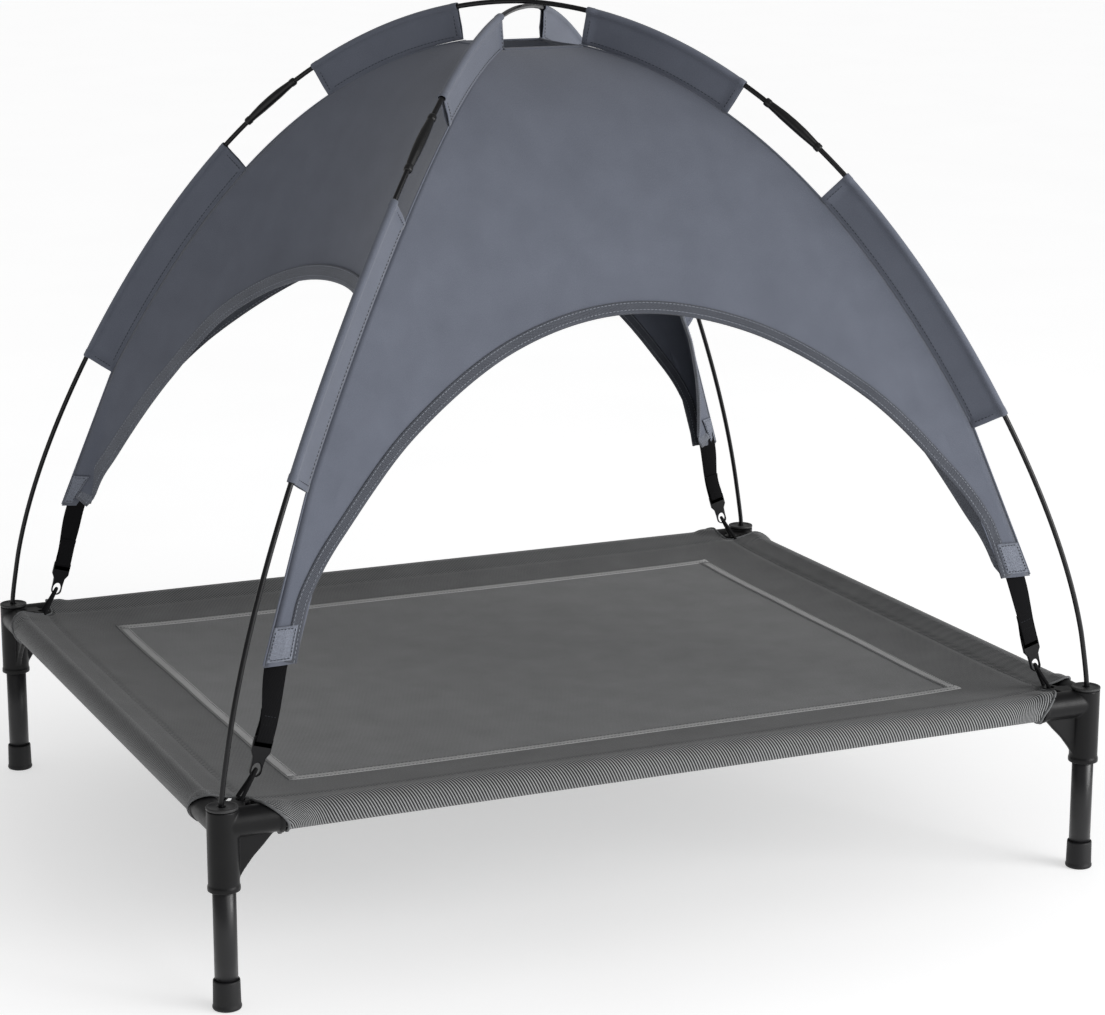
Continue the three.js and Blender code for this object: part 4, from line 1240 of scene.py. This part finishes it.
def patch_mesh(corner, kind):
    """Reinforcing patch sewn over a leg tip."""
    rows, columns = 15, 13
    base = PATCH_LIFT[kind]
    verts, uvs = [], []
    for r in range(rows):
        up = PATCH["low"] + (PATCH["high"] - PATCH["low"]) * r / (rows - 1)
        for c in range(columns):
            share = PATCH["inner"] + (PATCH["outer"] - PATCH["inner"]) * c / (columns - 1)
            edge = r in (0, rows - 1) or c in (0, columns - 1)
            fold = (0.7 * math.exp(-((c - 5.2) / 1.1) ** 2)
                    + 0.45 * math.exp(-((c - 8.4) / 0.9) ** 2))
            ripple = 0.15 * math.sin(c * 2.3 + r * 0.7)
            puff = 0 if edge else 0.5 + ripple + fold * math.sin(math.pi * r / (rows - 1))
            lift = base - 0.5 + puff if kind == "end" else base + 0.5 - puff
            verts.append(patch_point(corner, kind, share, up, lift)[0])
            uvs.append((share * 30, up))
    mesh = new_mesh(f"tip_patch_{corner}_{kind}", verts, grid_faces(rows, columns), uvs)
    facing = Vector(flip((0, 1, 0), corner))
    return thickened(facing_mesh(mesh, facing), f"tip_patch_{corner}_{kind}", 0.5, 0)


def patch_stitches(corner, kind):
    inner, outer = PATCH["inner"] - 0.07, PATCH["outer"] + 0.07
    low, high = PATCH["low"] + 2, PATCH["high"] - 2.5
    box = [(inner, low), (outer, low), (outer, high), (inner, high), (inner, low)]
    lift = PATCH_LIFT[kind] + (0.3 if kind == "end" else -0.3)
    rows = []
    for (a0, u0), (a1, u1) in zip(box, box[1:]):
        places = [patch_point(corner, kind, a0 + (a1 - a0) * k / 10, u0 + (u1 - u0) * k / 10, lift)
                  for k in range(11)]
        rows.append(stitches([p for p, _ in places], places[5][1], 2.2, 1.0, 0.42, 0.0))
    return rows


def ridge_bead(corner):
    points = [flip(ridge_at(s), corner) for s in np.linspace(PANEL_TOP, 0.998, 120)]
    section = [(u + 0.3, v) for u, v in circle(0.95, 10)]
    return swept_mesh(f"ridge_seam_{corner}", points, lambda i, p: p - SHADE_CENTRE, section)


def top_hem(name, panel):
    outs = np.linspace(-1, 1, 40)
    line = [panel_frame(panel, o, PANEL_TOP + 0.004) for o in outs]
    points = [p for p, *_ in line]
    section = rounded_strip(5.5, 1.9)
    side = lambda i, p: line[i][2]
    return swept_mesh(f"top_hem_{name}", points, side, [(u + 1.6, v) for u, v in section])


def add_canopy():
    cloth = add_object("canopy_sheet", thickened(canopy_mesh(), "canopy_sheet", 0.8), "canopy",
                       "canopy", "canopy", [f"canopy_panel_{n}" for n in PANELS])
    together = []

    def add(name, mesh, material="canopy", replaces=()):
        together.append(add_object(name, mesh, material, "canopy", "canopy", replaces))

    for name, panel in PANELS.items():
        # The front and back arches take the darker copy of the binding cloth: painted shade.
        band = "painted_shade_binding" if panel["along"] == 0 else "binding"
        add(f"arch_binding_{name}", binding_mesh(name, panel), band)
        rows = binding_stitches(name, panel)
        add(f"arch_stitches_{name}", joined(f"arch_stitches_{name}", rows), "thread_light")
        add(f"top_hem_{name}", top_hem(name, panel))
    for corner in CORNERS:
        for part, (start, end) in (("upper", UPPER_SLEEVE), ("lower", LOWER_SLEEVE)):
            name = f"sleeve_{part}_{corner}"
            add(name, sleeve_mesh(corner, name, start, end), "canopy",
                [f"pole_sleeve_{part}_{corner}"])
            name += "_stitches"
            add(name, joined(name, sleeve_stitches(corner, start, end)), "thread_dark")
        add(f"ridge_seam_{corner}", ridge_bead(corner))
        for kind in PATCH_LIFT:
            name = f"tip_patch_{corner}_{kind}"
            add(name, patch_mesh(corner, kind), "patch")
            name += "_stitches"
            add(name, joined(name, patch_stitches(corner, kind)), "thread_dark")
    return cloth, together


# ---- Straps, hooks and loops ----

def strap_axes(corner):
    """Width, line of pull and outward axes at a hook's bar, and the bar's middle."""
    pull = flip(PULL, corner)
    facing = np.array([0.0, CORNERS[corner][1], 0])
    out = square_to(facing, pull)
    return np.cross(pull, out), pull, out, flip(BAR, corner)


def strap_mesh(corner):
    """Webbing from inside the leg tip down, round the hook's bar and back up, sewn to itself."""
    width, pull, out, bar = strap_axes(corner)
    r = 3.1
    reach = (STRAP_TOP[2] - BAR[2]) / PULL[2]
    path = [(reach + 14, -8), (reach, -6.5), (reach * 0.7, -2.8), (reach * 0.4, 0.8), (10, r - 0.2)]
    for k in range(1, 12):
        a = math.radians(10 + 170 * k / 11)
        path.append((-r * math.sin(a), r * math.cos(a)))
    path += [(6, -r + 0.3), (12, -1.7), (20, -0.6), (27, -0.9)]
    points = catmull([bar + pull * u + out * v for u, v in path], 110)
    aside = np.array([CORNERS[corner][0] * STRAP_ASIDE, 0, 0])
    points = [p + aside * smoothstep(10, reach, np.dot(p - bar, pull)) for p in points]
    top, bottom = STRAP_WIDTH
    curl = math.radians(STRAP_TWIST[corner])

    def side(i, p):
        share = smoothstep(8, reach, np.dot(p - bar, pull))
        return width * math.cos(curl * share) + out * math.sin(curl * share)

    def section(i):
        share = smoothstep(6, reach * 0.9, np.dot(points[i] - bar, pull))
        return rounded_strip(bottom + (top - bottom) * share, STRAP_THICKNESS, 2)

    return swept_mesh(f"webbing_strap_{corner}", points, side, section)


def strap_stitches(corner):
    width, pull, out, bar = strap_axes(corner)
    rows = []
    for u in (13, 21):
        path = [bar + pull * u + width * w + out * (2.6 if u == 13 else 2.2)
                for w in np.linspace(-6, 6, 6)]
        rows.append(stitches(path, out, 2.0, 0.9, 0.35, 0.2))
    return rows


def hook_mesh(corner):
    """Moulded hook: a plate with a strap slot over a bar, a waist and a long eye."""
    half = HOOK["width"] / 2
    bottom = -EYE_TO_BAR - HOOK["tail"] + half
    curve = bpy.data.curves.new(f"hook_{corner}", "CURVE")
    curve.dimensions = "2D"
    curve.fill_mode = "BOTH"

    def spline(points):
        s = curve.splines.new("POLY")
        s.points.add(len(points) - 1)
        for p, (x, y) in zip(s.points, points):
            p.co = (x * MM, y * MM, 0, 1)
        s.use_cyclic_u = True

    r = half - 3.5
    edge = [(half - 1.5, HOOK["bar"]), (half, HOOK["bar"] - 1.5), (half, -12), (half - 3, -17),
            (r, bottom + 4)]
    end = [(r * math.cos(a), bottom - half + r + 2 + r * math.sin(a))
           for a in np.linspace(math.pi, 2 * math.pi, 24)]
    spline([(-x, y) for x, y in edge] + end + edge[::-1])
    in_slot = HOOK["slot_width"] / 2
    low = -HOOK["bar"] - HOOK["slot"]
    spline([(-in_slot, -HOOK["bar"]), (in_slot, -HOOK["bar"]), (in_slot, low), (-in_slot, low)])
    spline([(4.4 * math.cos(a), -EYE_TO_BAR + 6.2 * math.sin(a))
            for a in np.linspace(0, 2 * math.pi, 33)[:-1]])
    curve.extrude = (HOOK["thickness"] / 2 - 0.6) * MM
    curve.bevel_depth = 0.6 * MM
    curve.bevel_resolution = 2
    curve.offset = -0.6 * MM
    obj = bpy.data.objects.new("hook_tmp", curve)
    bpy.context.scene.collection.objects.link(obj)
    depsgraph = bpy.context.evaluated_depsgraph_get()
    mesh = bpy.data.meshes.new_from_object(obj.evaluated_get(depsgraph))
    bpy.data.objects.remove(obj)
    width, pull, out, bar = strap_axes(corner)
    rows = [(width[k], pull[k], out[k], bar[k] * MM) for k in range(3)]
    mesh.transform(Matrix((*rows, (0, 0, 0, 1))))
    return settled(mesh, weld=1e-7)


def loop_mesh(corner):
    """Elastic cord through the lug and the hook's eye."""
    inward = np.array([0.0, -1, 0])
    height = sum(LUG_Z) / 2
    hole = np.array([POST_X - LUG_OFFSET, POST_Y - LUG_OFFSET, height])
    edge = hole + inward * 10.5
    under = hole + inward * 5.7
    under[2] = LUG_Z[0] - 3.5
    outer = hole + (EYE - hole) * 0.55 - inward * 0.6
    inner = edge + (EYE - edge) * 0.55 + inward * 0.2
    route = [flip(p, corner) for p in (under, hole, outer, EYE, inner, edge)]
    curve = catmull(route * 3, 18 * 16)  # three times round, to take the even middle turn
    per = len(curve) // 3
    side = np.cross(flip(inward, corner), UP)
    return swept_mesh(f"elastic_{corner}", curve[per:2 * per - 1], side,
                      circle(LOOP_RADIUS, 12), closed=True)


def add_fastenings():
    straps = []
    for corner in CORNERS:
        straps.append(add_object(f"webbing_strap_{corner}", strap_mesh(corner), "webbing",
                                 "canopy", "webbing", [f"strap_{corner}"]))
        mesh = joined(f"strap_stitches_{corner}", strap_stitches(corner))
        straps.append(add_object(f"strap_stitches_{corner}", mesh, "thread_dark", "canopy",
                                 "webbing"))
        add_object(f"moulded_hook_{corner}", hook_mesh(corner), "hook", f"hook_{corner}",
                   "hook", [f"hook_{corner}"], smooth=False)
        add_object(f"elastic_{corner}", loop_mesh(corner), "elastic", "frame", "elastic",
                   [f"elastic_loop_{corner}"])
    return straps


# ---- Stage ----

CAMERA_AZIMUTH = -23.9613
CAMERA_ELEVATION = 13.3352
CAMERA_AT = (-1.1798, -2.7289, 1.0347)
CAMERA_LENS = 97.457
WORLD_LIGHT = 0.32
SUNS = {"key": ((0.5, -0.85, 0.45), 1.05, 45)}  # direction towards the light, strength, spread
SOFT_BOXES = {"front_right": ((2.2, -2.2, 0.9), (1.6, 1.3), 46, (0.3, -0.1, 0.45))}
FLOOR_HALF = 60  # m, so that no edge shows
FLOOR_GLOW = 0.66
FLOOR_PAINTED_SHADOW = ((0.62, 0.5), 0.68)  # half size of the painted shadow under the bed (a dim patch in the floor's glow), glow left in it


def add_camera():
    az, el = math.radians(CAMERA_AZIMUTH), math.radians(CAMERA_ELEVATION)
    back = Vector((math.sin(az) * math.cos(el), -math.cos(az) * math.cos(el), math.sin(el)))
    data = bpy.data.cameras.new("camera")
    data.lens = CAMERA_LENS
    data.sensor_width = 36
    data.clip_start, data.clip_end = 0.05, 60
    camera = bpy.data.objects.new("camera", data)
    camera.location = CAMERA_AT
    camera.rotation_mode = "QUATERNION"
    camera.rotation_quaternion = (-back).to_track_quat("-Z", "Y")
    bpy.context.scene.collection.objects.link(camera)
    bpy.context.scene.camera = camera


def add_light(name, kind, direction, energy):
    data = bpy.data.lights.new(name, kind)
    data.energy = energy
    light = bpy.data.objects.new(name, data)
    light.rotation_mode = "QUATERNION"
    light.rotation_quaternion = Vector(direction).to_track_quat("-Z", "Y")
    bpy.context.scene.collection.objects.link(light)
    return light


def add_lights():
    for name, (towards, strength, spread_degrees) in SUNS.items():
        light = add_light(name, "SUN", -Vector(towards), strength)
        light.data.angle = math.radians(spread_degrees)
    for name, (at, size, power, target) in SOFT_BOXES.items():
        light = add_light(name, "AREA", Vector(target) - Vector(at), power)
        light.location = at
        light.data.shape = "RECTANGLE"
        light.data.size, light.data.size_y = size


def add_stage():
    mesh = bpy.data.meshes.new("floor")
    r = FLOOR_HALF
    mesh.from_pydata([(-r, -r, 0), (r, -r, 0), (r, r, 0), (-r, r, 0)], [], [(0, 1, 2, 3)])
    floor = bpy.data.objects.new("floor", mesh)
    m = Nodes("floor_white")
    cloud = m.noise(m.coordinates(), 3, 4)
    m.link(m.ramp(cloud, ((0.3, (0.66, 0.66, 0.663)), (0.7, (0.69, 0.69, 0.693)))),
           m.shader.inputs["Base Color"])
    # The floor's glow dims in a soft patch under the bed: a painted shadow.
    (half_x, half_y), left = FLOOR_PAINTED_SHADOW
    split = m.node("ShaderNodeSeparateXYZ")
    m.link(m.coordinates(), split.inputs[0])
    x = m.math("DIVIDE", split.outputs["X"], half_x)
    y = m.math("DIVIDE", split.outputs["Y"], half_y)
    away = m.math("SQRT", m.add(m.mul(x, x), m.mul(y, y)))
    fade = m.node("ShaderNodeMapRange", interpolation_type="SMOOTHSTEP", From_Min=0.35,
                  From_Max=1.5, To_Min=FLOOR_GLOW * left, To_Max=FLOOR_GLOW)
    m.link(away, fade.inputs["Value"])
    m.link(fade.outputs["Result"], m.shader.inputs["Emission Strength"])
    m.set(Roughness=0.7, Specular_IOR_Level=0.2, Emission_Color=(1, 1, 1, 1))
    mesh.materials.append(m.material)
    bpy.context.scene.collection.objects.link(floor)
    world = bpy.data.worlds.new("studio")
    world.use_nodes = True
    background = world.node_tree.nodes["Background"]
    background.inputs["Color"].default_value = (1, 1, 1, 1)
    background.inputs["Strength"].default_value = WORLD_LIGHT
    bpy.context.scene.world = world
    add_lights()
    bpy.context.scene.view_settings.view_transform = "Standard"


add_camera()
add_stage()
add_frame()
bed, bed_pieces = add_bed()
add_poles()
canopy, canopy_pieces = add_canopy()
canopy_pieces += add_fastenings()
